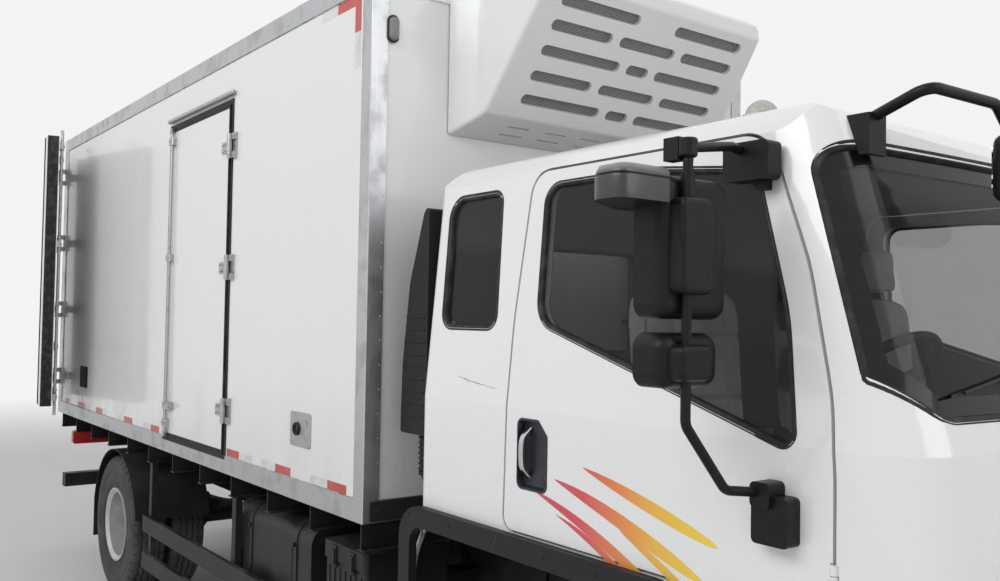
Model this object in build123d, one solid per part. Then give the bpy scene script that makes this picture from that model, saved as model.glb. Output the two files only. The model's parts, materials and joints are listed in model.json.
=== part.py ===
from build123d import *
import os
from math import cos, radians, sin

# Refrigerated truck with a row-and-a-half cab, right-hand drive, six wheels on two axles.
# Millimetres. Origin on the ground under the middle of the length and width.
# +X points forward, +Y to the truck's left, +Z up.

# Overall sizes
overall_length = 7760
overall_width = 3150            # over the mirrors, which reach past the open rear door
tyre_diameter = 940
tyre_width = 225
rim_diameter = 500
running_gap = 5                 # between pieces that move past each other
skin_gap = 0.3                  # between pieces that rest on each other but move
pin_clearance = 0.05            # radial, in every hinge and bearing

# Insulated box
box_length = 5180
box_width = 2300
box_height = 2250               # from the lower edge of the bottom rail to the roof
box_bottom_z = 1120
wall_thickness = 80
roof_thickness = 80
rail_height = 90
box_floor_thickness = 90
post_width = 75
rear_overhang = 60              # rubber buffers behind the rear frame
header_height = 150
sill_height = 140

# Axles
front_axle_ahead = 1130         # ahead of the box front
rear_axle_behind = 3590         # behind the box front
front_track = 1780
twin_outer_y = 998
twin_spacing = 258
kingpin_y = 740
steer_limit = 35

# Cab
cab_gap = 290                   # between the box and the back of the cab
cab_width = 2140
cab_wall = 46
cab_floor_z = 1160              # underside over the engine and the wheels
footwell_z = 900                # underside ahead of the wheels
footwell_ahead = 1770           # where the footwell starts, ahead of the box front
floor_thickness = 50
glass_thickness = 5
glass_inset = 16

# Chassis
rail_spacing = 800              # over the outside of the two side members
chassis_rail_height = 200
chassis_rail_top = 880
chassis_flange = 70
chassis_plate = 8
subframe_height = 120
crossmember_height = 120

# Derived places
rear_x = -overall_length / 2
front_x = overall_length / 2
box_rear_x = rear_x + rear_overhang
box_front_x = box_rear_x + box_length
box_top_z = box_bottom_z + box_height
box_side_y = box_width / 2
floor_top_z = box_bottom_z + box_floor_thickness
cab_rear_x = box_front_x + cab_gap
cab_side_y = cab_width / 2
front_axle_x = box_front_x + front_axle_ahead
rear_axle_x = box_front_x - rear_axle_behind
axle_z = tyre_diameter / 2
footwell_x = box_front_x + footwell_ahead
front_wheel_y = front_track / 2
chassis_rail_bottom = chassis_rail_top - chassis_rail_height
chassis_rail_y = rail_spacing / 2

os.makedirs("parts", exist_ok=True)


# Helpers

def block(x, y, z):
    """A box between two corners, each argument a (low, high) pair."""
    size = Box(x[1] - x[0], y[1] - y[0], z[1] - z[0])
    return Pos((x[0] + x[1]) / 2, (y[0] + y[1]) / 2, (z[0] + z[1]) / 2) * size


def outline(points, radius=0):
    """A flat closed outline, all its corners rounded, or each by its own radius."""
    face = make_face(Polyline(*points, close=True))
    if not radius:
        return face
    if not isinstance(radius, (list, tuple)):
        return fillet(face.vertices(), radius)
    for (px, py), corner_radius in zip(points, radius):
        if corner_radius:
            near = face.vertices().sort_by_distance((px, py, 0))[0]
            face = fillet(near, corner_radius)
    return face


def side_prism(face, y):
    """An outline in X and Z, made solid between two Y values."""
    return Pos(0, y[0], 0) * extrude(Plane.XZ * face, amount=y[1] - y[0], dir=(0, 1, 0))


def front_prism(face, x):
    """An outline in Y and Z, made solid between two X values."""
    return Pos(x[0], 0, 0) * extrude(Plane.YZ * face, amount=x[1] - x[0], dir=(1, 0, 0))


def rod(start, end, radius, bore=0):
    """A round bar from start to end, hollow when a bore radius is given."""
    direction = Vector(*end) - Vector(*start)
    plane = Plane(origin=start, z_dir=direction)
    section = Circle(radius) - Circle(bore) if bore else Circle(radius)
    return extrude(plane * section, amount=direction.length)


def bent_tube(points, bend, radius):
    """A round tube along straight runs joined by arcs."""
    path = FilletPolyline(*points, radius=bend)
    start = Plane(origin=path @ 0, z_dir=path % 0)
    return sweep(start * Circle(radius), path=path)


def both_sides(solid):
    """The piece and its mirror image on the other side of the truck."""
    return [solid, mirror(solid, about=Plane.XZ)]


def other_side(solid):
    return mirror(solid, about=Plane.XZ)


def save(name, solids):
    pieces = solids if isinstance(solids, list) else [solids]
    flat = [solid for piece in pieces for solid in piece.solids()]
    shape = flat[0] if len(flat) == 1 else Compound(children=flat)
    shape.label = name
    export_step(shape, f"parts/{name}.step")


# Wheels: tyre and rim, the rear ones in pairs

tyre_radius = tyre_diameter / 2
rim_radius = rim_diameter / 2
seat_radius = rim_radius - 22
rim_half = 90                   # half the width between the rim's flanges
rim_plate = 12
disc_offset = twin_spacing / 2  # from the rim's middle to its mounting face
mount_radius = 150
centre_bore = 80
stud_circle_radius = 111
stud_count = 6
stud_hole = 11
hand_hole_count = 8
hand_hole = 24
hand_hole_circle = 182


def tyre(y):
    half = tyre_width / 2
    section = [
        (rim_radius + 1, -rim_half + 0.5), (rim_radius + 22, -rim_half - 8),
        (tyre_radius - 90, -half), (tyre_radius - 38, -half + 3), (tyre_radius, -half + 24),
        (tyre_radius, half - 24), (tyre_radius - 38, half - 3), (tyre_radius - 90, half),
        (rim_radius + 22, rim_half + 8), (rim_radius + 1, rim_half - 0.5),
        (seat_radius, rim_half - 8), (seat_radius, -rim_half + 8)]
    radii = [0, 0, 50, 25, 12, 12, 25, 50, 0, 0, 0, 0]
    return Pos(0, y, 0) * revolve(outline(section, radii), axis=Axis.Y)


def rim(y, toward):
    """A disc wheel whose mounting face lies disc_offset to one side of its middle."""
    ring = outline([
        (rim_radius, -rim_half - 14), (rim_radius, -rim_half), (seat_radius, -rim_half),
        (seat_radius, rim_half), (rim_radius, rim_half), (rim_radius, rim_half + 14),
        (rim_radius - 12, rim_half + 14), (seat_radius - 12, rim_half - 4),
        (seat_radius - 12, -rim_half + 4), (rim_radius - 12, -rim_half - 14)])
    face_y = toward * disc_offset
    back_y = face_y - toward * rim_plate
    root_y = toward * rim_half * 0.35
    disc = outline([
        (centre_bore, face_y), (mount_radius, face_y), (seat_radius - 8, root_y + toward * rim_plate),
        (seat_radius - 8, root_y), (mount_radius - 3, back_y), (centre_bore, back_y)])
    wheel = revolve(ring, axis=Axis.Y) + revolve(disc, axis=Axis.Y)
    for number in range(hand_hole_count):
        turn = Rot(0, (number + 0.5) * 360 / hand_hole_count, 0)
        wheel -= turn * rod((hand_hole_circle, 0, 0), (hand_hole_circle, 2 * face_y, 0), hand_hole)
    for number in range(stud_count):
        turn = Rot(0, number * 360 / stud_count, 0)
        wheel -= turn * rod((stud_circle_radius, 0, 0), (stud_circle_radius, 2 * face_y, 0), stud_hole)
    return Pos(0, y, 0) * wheel


# Hubs turn on the spindles of the knuckles and on the ends of the rear axle

front_spindle_radius = 30
rear_spindle_radius = 44
drum_radius = 205
drum_plate = 10
drum_depth = 205                # from the flange to the drum's open edge
drum_width = 112
hub_flange = 14
front_mount_y = front_wheel_y + disc_offset
rear_mount_y = twin_outer_y - disc_offset
hub_nose = 50                   # how far the hub stands out of the mounting face


def hub(spindle_radius, mount_y):
    """A left hub with its brake drum; the wheel's disc sits against the flange."""
    bore = spindle_radius + pin_clearance
    flange_y = mount_y - rim_plate
    inner_y = flange_y - drum_depth
    drum_y = inner_y + drum_width
    nose_y = mount_y + hub_nose
    section = [
        (bore, inner_y + 45), (bore, nose_y - 12), (0, nose_y - 12), (0, nose_y),
        (centre_bore - 14, nose_y), (centre_bore - 1, nose_y - 20), (centre_bore - 1, flange_y),
        (mount_radius - 8, flange_y), (mount_radius - 8, flange_y - hub_flange),
        (drum_radius, drum_y), (drum_radius, inner_y), (drum_radius - drum_plate, inner_y),
        (drum_radius - drum_plate, drum_y - 8), (centre_bore - 8, drum_y + 20), (centre_bore - 8, inner_y + 45)]
    return revolve(outline(section), axis=Axis.Y)


def build_wheels():
    front_place = Pos(front_axle_x, 0, axle_z)
    rear_place = Pos(rear_axle_x, 0, axle_z)
    front_tyre = front_place * tyre(front_wheel_y)
    front_rim = front_place * rim(front_wheel_y, 1)
    front_hub = front_place * hub(front_spindle_radius, front_mount_y)
    twin_inner_y = twin_outer_y - twin_spacing
    rear_tyres = [rear_place * tyre(twin_outer_y), rear_place * tyre(twin_inner_y)]
    rear_rims = rear_place * (rim(twin_outer_y, -1) + rim(twin_inner_y, 1))
    rear_hub = rear_place * hub(rear_spindle_radius, rear_mount_y)
    for side, place in (("left", lambda s: s), ("right", other_side)):
        save(f"front_tyre_{side}", place(front_tyre))
        save(f"front_wheel_{side}", [place(front_rim), place(front_hub)])
        save(f"rear_tyres_{side}", [place(solid) for solid in rear_tyres])
        save(f"rear_wheels_{side}", [place(rear_rims), place(rear_hub)])


# Front axle, knuckles and tie rod

kingpin_radius = 20
boss_radius = 42
boss_half = 62                  # half the height of the axle beam's end boss
ear_thickness = 36
steering_arm = 165
arm_thickness = 18
tie_rod_radius = 14
tie_pin_radius = 9
beam_half_width = 38
beam_half_height = 42
spindle_root_y = kingpin_y + 50
knuckle_low = boss_half + running_gap
knuckle_high = knuckle_low + ear_thickness
tie_rod_z = axle_z - knuckle_high + 6 + tie_rod_radius
backing_plate_radius = 204
backing_plate_thickness = 10


def front_axle():
    beam = block((-beam_half_width, beam_half_width), (-kingpin_y, kingpin_y),
                 (-beam_half_height, beam_half_height))
    for side in (-1, 1):
        beam -= block((side * 14, side * beam_half_width) if side > 0 else (-beam_half_width, -14),
                      (-kingpin_y + 130, kingpin_y - 130), (-beam_half_height + 16, beam_half_height - 16))
    for side in (-1, 1):
        y = side * kingpin_y
        beam += rod((0, y, -boss_half), (0, y, boss_half), boss_radius)
        pin_half = boss_half + running_gap + ear_thickness
        beam += rod((0, y, -pin_half), (0, y, pin_half), kingpin_radius)
    return Pos(front_axle_x, 0, axle_z) * beam


def knuckle():
    """The left knuckle: two ears on the kingpin, a web, the spindle and the steering arm."""
    low, high = knuckle_low, knuckle_high
    plate_y = front_mount_y - rim_plate - drum_depth - running_gap
    body = block((-45, 45), (kingpin_y + boss_radius + 6, spindle_root_y + 12), (-high, high))
    for z in ((low, high), (-high, -low)):
        body += block((-38, 38), (kingpin_y, kingpin_y + boss_radius + 10), z)
        body += rod((0, kingpin_y, z[0]), (0, kingpin_y, z[1]), 38)
    body += rod((0, plate_y - backing_plate_thickness, 0), (0, plate_y, 0), backing_plate_radius)
    body += rod((0, spindle_root_y, 0), (0, spindle_root_y + 34, 0), 60)
    body += rod((0, spindle_root_y, 0), (0, front_mount_y + 30, 0), front_spindle_radius)
    arm = outline([(30, kingpin_y - 30), (30, kingpin_y + 30), (-steering_arm - 22, kingpin_y + 22),
                   (-steering_arm - 22, kingpin_y - 22)], 12)
    body += Pos(0, 0, -high - arm_thickness) * extrude(arm, amount=arm_thickness)
    body += rod((-steering_arm, kingpin_y, -high - arm_thickness),
                (-steering_arm, kingpin_y, tie_rod_z - axle_z + tie_rod_radius + 6), tie_pin_radius)
    reach = high + arm_thickness + 1
    body -= rod((0, kingpin_y, -reach), (0, kingpin_y, reach), kingpin_radius + pin_clearance)
    return Pos(front_axle_x, 0, axle_z) * body


def tie_rod():
    x = front_axle_x - steering_arm
    bar = rod((x, -kingpin_y, tie_rod_z), (x, kingpin_y, tie_rod_z), tie_rod_radius)
    for side in (-1, 1):
        y = side * kingpin_y
        bar += rod((x, y, tie_rod_z - tie_rod_radius - 3), (x, y, tie_rod_z + tie_rod_radius + 3), 22)
        bar -= rod((x, y, tie_rod_z - 60), (x, y, tie_rod_z + 60), tie_pin_radius + pin_clearance)
    return bar


# Rear axle: banjo housing, tubes, backing plates and spindles

axle_tube_radius = 58
rear_spring_y = 490
clamp_half = 55
housing_radius = 175
plate_radius = 204
plate_thickness = 10


def rear_axle():
    flange_y = rear_mount_y - rim_plate
    plate_y = flange_y - drum_depth - running_gap - plate_thickness
    tube = rod((0, -plate_y, 0), (0, plate_y, 0), axle_tube_radius)
    banjo = revolve(outline([(0, -95), (110, -95), (housing_radius, -40), (housing_radius, 40),
                             (110, 95), (0, 95)], [0, 30, 30, 30, 30, 0]), axis=Axis.Y)
    nose = rod((60, 0, 0), (housing_radius + 95, 0, 0), 72)
    axle = tube + banjo + nose
    for side in (-1, 1):
        axle += rod((0, side * plate_y, 0), (0, side * (plate_y + plate_thickness), 0), plate_radius)
        axle += rod((0, side * plate_y, 0), (0, side * (rear_mount_y + 30), 0), rear_spindle_radius)
        pad_y = (rear_spring_y - 35, rear_spring_y + 35) if side > 0 else (-rear_spring_y - 35, -rear_spring_y + 35)
        axle += block((-clamp_half, clamp_half), pad_y, (-20, axle_tube_radius))
    return Pos(rear_axle_x, 0, axle_z) * axle


# Leaf springs

spring_width = 70
leaf_thickness = 11
spring_table = [
    # axle place, half length, middle in Y, top of the seat, number of leaves, rise to the eyes
    (front_axle_x, 640, 425, axle_z + beam_half_height, 6, 45),
    (rear_axle_x, 700, rear_spring_y, axle_z + axle_tube_radius, 9, 70),
]
eye_radius = 26
eye_bore = 13


def leaf_spring(x, half_length, y, seat_z, leaves, rise):
    """A stack of bowed leaves, each shorter than the one above, clamped on the axle."""
    top_z = seat_z + leaves * leaf_thickness
    radius = (half_length ** 2 + rise ** 2) / (2 * rise)
    centre_z = top_z + radius
    stack = None
    for number in range(leaves):
        outer = radius + number * leaf_thickness
        reach = half_length * (1 - number / (leaves + 1.5))
        ring = Circle(outer + leaf_thickness) - Circle(outer)
        window = Pos(0, -radius) * Rectangle(2 * reach, radius)
        leaf = Pos(x, 0, centre_z) * (Plane.XZ * (ring & window))
        solid = extrude(leaf, amount=spring_width, dir=(0, 1, 0))
        stack = solid if stack is None else stack + solid
    for end in (-1, 1):
        eye_x = x + end * half_length
        eye_z = spring_eye_z(seat_z, leaves, rise)
        stack += rod((eye_x, 0, eye_z), (eye_x, spring_width, eye_z), eye_radius)
        stack -= rod((eye_x, -1, eye_z), (eye_x, spring_width + 1, eye_z), eye_bore)
    stack += block((x - clamp_half, x + clamp_half), (0, spring_width), (seat_z, top_z + 12))
    return Pos(0, y - spring_width / 2, 0) * stack


# Chassis: side members, cross members, spring hangers, cab pivot and cab rest

chassis_rear_x = box_rear_x + 120
chassis_front_x = box_front_x + 2200
chassis_cross_x = [chassis_rear_x + 60, rear_axle_x - 560, rear_axle_x + 620, box_front_x - 1500,
                   box_front_x - 300, front_axle_x - 860, chassis_front_x - 50]
cab_pivot_x = box_front_x + 2235
cab_pivot_z = 815
cab_pivot_y = chassis_rail_y - chassis_flange + 2
cab_pivot_radius = 18
cab_rest_x = cab_rear_x + 130


def spring_eye_z(seat_z, leaves, rise):
    return seat_z + leaves * leaf_thickness + rise - leaf_thickness + eye_radius - 4


def side_member():
    """Left side: a channel with its spring hangers and cab rest."""
    low, high = chassis_rail_bottom, chassis_rail_top
    y = chassis_rail_y
    member = block((chassis_rear_x, chassis_front_x), (y - chassis_plate, y), (low, high))
    for z in (low, high - chassis_plate):
        member += block((chassis_rear_x, chassis_front_x), (y - chassis_flange, y), (z, z + chassis_plate))
    for x, half_length, middle_y, seat_z, leaves, rise in spring_table:
        eye_z = spring_eye_z(seat_z, leaves, rise)
        near_y = middle_y - spring_width / 2
        for end in (-1, 1):
            eye_x = x + end * half_length
            if near_y < y:
                hanger = block((eye_x - 45, eye_x + 45), (near_y - 22, near_y), (eye_z - 40, low + 2))
            else:
                hanger = block((eye_x - 45, eye_x + 45), (y, y + 20), (min(low, eye_z - 40), low + 70))
                hanger += rod((eye_x, y, eye_z), (eye_x, near_y, eye_z), 34)
            member += hanger + rod((eye_x, near_y - 10, eye_z), (eye_x, near_y + spring_width + 14, eye_z),
                                   eye_bore - skin_gap)
    return member + block((cab_rest_x - 25, cab_rest_x + 25), (y - 65, y - 5), (high, cab_floor_z - skin_gap))


def cab_pivot_bracket():
    """Left side: a lug inside the channel's front end with the pin that the cab tilts on."""
    height = (cab_pivot_z - 35, cab_pivot_z + 35)
    lug = block((chassis_front_x - 60, cab_pivot_x + 25), (cab_pivot_y - 40, cab_pivot_y - 2), height)
    lug += block((chassis_front_x - 60, chassis_front_x - 10),
                 (cab_pivot_y - 10, chassis_rail_y - chassis_plate), height)
    return lug + rod((cab_pivot_x, cab_pivot_y - 40, cab_pivot_z), (cab_pivot_x, cab_pivot_y + 46, cab_pivot_z),
                     cab_pivot_radius)


def chassis_frame():
    """The two side members and, each its own piece, pivot brackets and cross members between the webs."""
    low, high = chassis_rail_bottom, chassis_rail_top
    members = both_sides(side_member()) + both_sides(cab_pivot_bracket())
    inner = chassis_rail_y - chassis_plate
    crosses = []
    for x in chassis_cross_x:
        cross = block((x - 40, x + 40), (-inner, inner), (low + 40, low + 48))
        cross += block((x - 4, x + 4), (-inner, inner), (low + 48, high - 48))
        cross += block((x - 40, x + 40), (-inner, inner), (high - 48, high - 40))
        for member in members:
            cross -= member
        crosses.append(cross)
    return members + crosses


subframe_x = (box_rear_x + 40, box_front_x - 20)
crossmember_count = 12
crossmember_width = 60
subframe_top = chassis_rail_top + subframe_height
crossmember_step = (subframe_x[1] - subframe_x[0] - crossmember_width) / (crossmember_count - 1)
crossmember_x = [subframe_x[0] + crossmember_width / 2 + number * crossmember_step
                 for number in range(crossmember_count)]


def box_subframe():
    """Two runners on the side members and the row of cross members under the floor."""
    y = chassis_rail_y
    beams = both_sides(block(subframe_x, (y - 65, y - 5), (chassis_rail_top, subframe_top)))
    reach = box_side_y - 25
    half = crossmember_width / 2
    for x in crossmember_x:
        cross = block((x - half, x + half), (-reach, reach), (subframe_top, subframe_top + 7))
        cross += block((x - 4, x + 4), (-reach, reach), (subframe_top, box_bottom_z))
        cross += block((x - half, x + half), (-reach, reach), (box_bottom_z - 7, box_bottom_z))
        beams.append(cross)
    return beams


def propeller_shaft():
    start = Vector(rear_axle_x + housing_radius + 95, 0, axle_z)
    end = Vector(front_axle_x - gearbox_rear, 0, 640)
    flange = Vector(24, 0, 0)
    flanges = [rod(start, start + flange, 60), rod(end - flange, end, 60)]
    tube = rod(start + flange * 0.5, end - flange * 0.5, 38)
    for one in flanges:
        tube -= one
    return [tube] + flanges


gearbox_rear = 720


def engine_block():
    engine = block((front_axle_x - 380, front_axle_x + 560), (-270, 270), (600, 1110))
    gearbox = block((front_axle_x - gearbox_rear, front_axle_x - 380), (-170, 170), (560, 880))
    inner = chassis_rail_y - chassis_plate
    for x in (front_axle_x - 420, front_axle_x + 430):
        engine += block((x - 35, x + 35), (-inner, inner), (chassis_rail_bottom + 40, chassis_rail_bottom + 90))
    return engine + gearbox


# Pieces hung on the side members: (front and rear place behind the box front, y, z)

tank_x = (box_front_x - 1480, box_front_x - 620)
tank_y = (-1060, -600)
tank_z = (545, 985)
battery_x = (box_front_x - 480, box_front_x - 120)
battery_y = (-1060, -640)
battery_z = (560, 960)


def fuel_tank():
    tank = block(tank_x, tank_y, tank_z)
    tank = fillet(tank.edges().filter_by(Axis.X), 90)
    middle_y = (tank_y[0] + tank_y[1]) / 2
    middle_z = (tank_z[0] + tank_z[1]) / 2
    arms = []
    for x in (tank_x[0] + 170, tank_x[1] - 170):
        band = block((x - 25, x + 25), (tank_y[0] - 4, tank_y[1] + 4), (tank_z[0] - 4, tank_z[1] + 4))
        tank += fillet(band.edges().filter_by(Axis.X), 93)
        arms.append(block((x - 35, x + 35), (tank_y[1] - 60, -chassis_rail_y), (chassis_rail_bottom + 20, 800)))
    cap_x = tank_x[1] - 60
    tank += rod((cap_x, tank_y[0] + 110, tank_z[1] - 6), (cap_x, tank_y[0] + 110, tank_z[1] + 24), 42)
    return [tank] + [arm - tank for arm in arms]


def battery_box():
    case = fillet(block(battery_x, battery_y, battery_z).edges().filter_by(Axis.Z), 20)
    lid = block((battery_x[0] - 8, battery_x[1] + 8), (battery_y[0] - 8, battery_y[1] + 8),
                (battery_z[1] - 70, battery_z[1] + 6))
    case += fillet(lid.edges().filter_by(Axis.Z), 24)
    middle_x = (battery_x[0] + battery_x[1]) / 2
    arm = block((middle_x - 60, middle_x + 60), (battery_y[1] - 10, -chassis_rail_y),
                (chassis_rail_bottom + 20, chassis_rail_bottom + 110))
    return [case, arm - case]


def air_tanks():
    tanks = []
    for z in (620, 840):
        tank = rod((box_front_x - 1850, 760, z), (box_front_x - 1170, 760, z), 98)
        tanks.append(fillet(tank.edges(), 40))
    for x in (box_front_x - 1730, box_front_x - 1290):
        hanger = block((x - 25, x + 25), (chassis_rail_y, 680), (chassis_rail_bottom + 10, chassis_rail_top - 10))
        hanger += block((x - 25, x + 25), (660, 680), (560, 900))
        for tank in tanks[:2]:
            hanger -= tank
        tanks.append(hanger)
    return tanks


def exhaust():
    y = 720
    z = 700
    muffler = fillet(rod((box_front_x - 480, y, z), (box_front_x + 220, y, z), 125).edges(), 30)
    bracket = block((box_front_x - 180, box_front_x - 120), (chassis_rail_y, y - 60), (z - 10, z + 60))
    inlet = rod((box_front_x + 210, y - 40, z), (box_front_x + 300, y - 40, z), 38)
    tail = bent_tube([(box_front_x - 470, y, z), (box_front_x - 640, y, z - 60),
                      (box_front_x - 820, y + 330, z - 200)], 90, 38)
    return [muffler] + [one - muffler for one in (bracket, inlet, tail)]


guard_y = 1130
guard_x = (box_front_x - 2880, box_front_x - 960)
guard_rows = [(330, 430), (560, 660)]


def side_guard(side):
    span = (guard_y - 25, guard_y) if side > 0 else (-guard_y, -guard_y + 25)
    post_span = (guard_y - 60, guard_y - 25) if side > 0 else (-guard_y + 25, -guard_y + 60)
    guard = [block(guard_x, span, z) for z in guard_rows]
    for x in (crossmember_x[5], crossmember_x[8]):
        guard.append(block((x - 25, x + 25), post_span, (guard_rows[0][0], subframe_top)))
    return guard


underrun_x = (box_rear_x - 30, box_rear_x + 70)


def underrun_bar():
    bar = fillet(block(underrun_x, (-1090, 1090), (500, 610)).edges().filter_by(Axis.Y), 12)
    arm = block((underrun_x[1] - 30, chassis_rear_x + 60), (330, 390), (610 - 90, chassis_rail_bottom))
    return [bar] + both_sides(arm - bar)


def buffers():
    pads = block((box_rear_x - rear_overhang, box_rear_x + door_recess), (980, 1110), (box_bottom_z + 8, box_bottom_z + 118))
    return both_sides(fillet(pads.faces().sort_by(Axis.X)[0].edges(), 12))


def tail_lamps():
    lamps = []
    for side in (-1, 1):
        span = (640, 1040) if side > 0 else (-1040, -640)
        arm = (700, 760) if side > 0 else (-760, -700)
        lamp = fillet(block((box_rear_x + 20, box_rear_x + 80), span, (850, 960)).edges().filter_by(Axis.X), 18)
        lamp += block((box_rear_x + 60, box_rear_x + 80), arm, (950, subframe_top))
        lamps.append(lamp)
    return lamps


mudguard_gap = 45
mudguard_plate = 6


def mudguard(x, z, inner_radius, y, angles, flap_z):
    """A rolled sheet over a wheel, its two ends at angles above the axle, with a flap behind."""
    outer = inner_radius + mudguard_plate
    ring = Circle(outer) - Circle(inner_radius)
    far = 2 * outer
    start, end = (radians(a) for a in angles)
    middle = (start + end) / 2
    wedge = make_face(Polyline((0, 0), (far * cos(start), far * sin(start)),
                               (far * cos(middle), far * sin(middle)),
                               (far * cos(end), far * sin(end)), close=True))
    arc = Pos(x, 0, z) * (Plane.XZ * (ring & wedge))
    sheet = Pos(0, y[0], 0) * extrude(arc, amount=y[1] - y[0], dir=(0, 1, 0))
    flap_x = x + inner_radius * cos(end)
    top_z = z + inner_radius * sin(end) + 12
    sheet += block((flap_x - mudguard_plate - 4, flap_x), (y[0], y[1]), (flap_z, top_z))
    return sheet


rear_mudguard_radius = tyre_radius + mudguard_gap


def rear_mudguards():
    guards = []
    span = (twin_outer_y - twin_spacing - tyre_width / 2 - 5, twin_outer_y + tyre_width / 2 + 5)
    guard = mudguard(rear_axle_x, axle_z, rear_mudguard_radius, span, (12, 168), 300)
    top = axle_z + rear_mudguard_radius + mudguard_plate
    low = chassis_rail_top - 60
    for x in (rear_axle_x - 60, rear_axle_x + 60):
        guard += block((x - 15, x + 15), (chassis_rail_y, span[0]), (low, low + 30))
        guard += block((x - 15, x + 15), (span[0] - 25, span[0]), (low, top - 3))
    return both_sides(guard)


front_mudguard_radius = 562


def front_mudguards():
    y = (610, cab_side_y - 2)
    guard = mudguard(front_axle_x, axle_z, front_mudguard_radius, y, (22, 165), 520)
    top = axle_z + front_mudguard_radius
    for x in (front_axle_x - 60, front_axle_x + 60):
        guard += block((x - 18, x + 18), (chassis_rail_y - 40, chassis_rail_y - 10), (chassis_rail_top, top + 3))
        guard += block((x - 18, x + 18), (chassis_rail_y - 40, y[0]), (top - 16, top + 3))
    return both_sides(guard)


intake_profile = [(88, 1490), (96, 1760), (140, 2080), (200, 2250), (236, 2352), (272, 2380), (272, 1490)]
intake_radii = [12, 400, 300, 200, 30, 14, 12]
intake_slot_count = 14
intake_slot_pitch = 15


def air_intake():
    """The snorkel behind the cab, with louvres at its back, and the duct down to the side member."""
    x = box_front_x
    duct = side_prism(outline([(x + px, z) for px, z in intake_profile], intake_radii), (-1035, -905))
    for number in range(intake_slot_count):
        z = 2035 + number * intake_slot_pitch
        back = x + 125 + (number * intake_slot_pitch) * 0.32
        duct -= block((back - 60, back + 22), (-1023, -917), (z, z + 7))
    pipe = bent_tube([(x + 215, -968, 1500), (x + 215, -968, 1330), (x + 215, -640, 1060), (x + 215, -455, 1045)],
                     50, 42)
    duct += pipe
    duct += block((x + 165, x + 262), (-470, -chassis_rail_y), (930, 1090))
    duct += block((x + 165, x + 262), (-chassis_rail_y - 14, -chassis_rail_y), (chassis_rail_top - 100, 960))
    return duct


# Insulated box: floor, walls, roof and the rails that join them

rail_plate = 6
frame_depth = 110
door_recess = 6
wall_y = box_side_y - rail_plate
top_rail_height = 90
roof_under_z = box_top_z - rail_plate - roof_thickness
wall_x = (box_rear_x + frame_depth, box_front_x - rail_plate - wall_thickness)

side_door_ahead = (-2440, -1500)        # rear and front edge, ahead of the box front
side_door_z = (box_bottom_z + 105, box_bottom_z + 1925)   # its lower edge is level with the floor
side_door_gap = 12
side_door_thickness = 84
side_frame_width = 24
side_door_x = (box_front_x + side_door_ahead[0], box_front_x + side_door_ahead[1])


floor_step = 2                  # the load floor stands this much above the strip under the walls
floor_edge_gap = 1


def box_floor():
    inner_y = wall_y - wall_thickness - floor_edge_gap
    slab = block((wall_x[0], box_front_x - rail_plate), (-wall_y, wall_y), (box_bottom_z, floor_top_z - floor_step))
    return slab + block((wall_x[0], wall_x[1] - floor_edge_gap), (-inner_y, inner_y),
                        (floor_top_z - floor_step, floor_top_z))


def box_wall(side):
    span = (wall_y - wall_thickness, wall_y) if side > 0 else (-wall_y, -wall_y + wall_thickness)
    wall = block(wall_x, span, (floor_top_z - floor_step, roof_under_z))
    if side < 0:
        gap = side_door_gap
        wall -= block((side_door_x[0] - gap, side_door_x[1] + gap), (-wall_y - 1, -wall_y + wall_thickness + 1),
                      (floor_top_z - floor_step - 1, side_door_z[1] + gap))
    return wall


def box_front_wall():
    return block((wall_x[1], box_front_x - rail_plate), (-wall_y, wall_y), (floor_top_z - floor_step, roof_under_z))


def box_roof():
    return block((wall_x[0], box_front_x - rail_plate), (-wall_y, wall_y), (roof_under_z, box_top_z - rail_plate))


def box_rails():
    """Aluminium sections along the edges of the box: bottom, top and the front corner posts."""
    rails = None
    x = (wall_x[0], box_front_x)
    low = (box_bottom_z, box_bottom_z + rail_height)
    high = (box_top_z - top_rail_height, box_top_z)
    for side in (-1, 1):
        skin = (wall_y, box_side_y) if side > 0 else (-box_side_y, -wall_y)
        over = (wall_y - 70, box_side_y) if side > 0 else (-box_side_y, -wall_y + 70)
        piece = block(x, skin, low) + block(x, skin, high)
        piece += block(x, over, (box_top_z - rail_plate, box_top_z))
        post = block((box_front_x - post_width, box_front_x), skin, (low[0], high[1]))
        post += block((box_front_x - rail_plate, box_front_x),
                      (box_side_y - post_width, box_side_y) if side > 0 else (-box_side_y, -box_side_y + post_width),
                      (low[0], high[1]))
        piece += post
        rails = piece if rails is None else rails + piece
    cut = side_door_gap + side_frame_width
    rails -= block((side_door_x[0] - cut, side_door_x[1] + cut), (-box_side_y - 1, -wall_y + 1),
                   (side_door_z[0] - cut, side_door_z[1]))
    front = (box_front_x - rail_plate, box_front_x)
    rails += block(front, (-box_side_y, box_side_y), low)
    rails += block(front, (-box_side_y, box_side_y), high)
    rails += block((box_front_x - rail_plate - 70, box_front_x), (-box_side_y, box_side_y),
                   (box_top_z - rail_plate, box_top_z))
    corners = rails.edges().filter_by(Axis.Z).filter_by(
        lambda e: abs(e.center().X - box_front_x) < 0.1 and abs(abs(e.center().Y) - box_side_y) < 0.1)
    return fillet(corners, rail_plate - 1)


def rear_frame():
    frame = block((box_rear_x + door_recess, wall_x[0]), (-box_side_y, box_side_y), (box_bottom_z, box_top_z))
    frame -= block((box_rear_x - 1, wall_x[0] + 1), (-rear_opening_y, rear_opening_y),
                   (rear_opening_z[0], rear_opening_z[1]))
    return frame


# Hinges: the fixed side has two ears and a pin, the moving side a barrel on a blade

hinge_radius = 14
hinge_pin = 8
barrel_height = 60
ear_height = 34
ear_gap = 1


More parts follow.
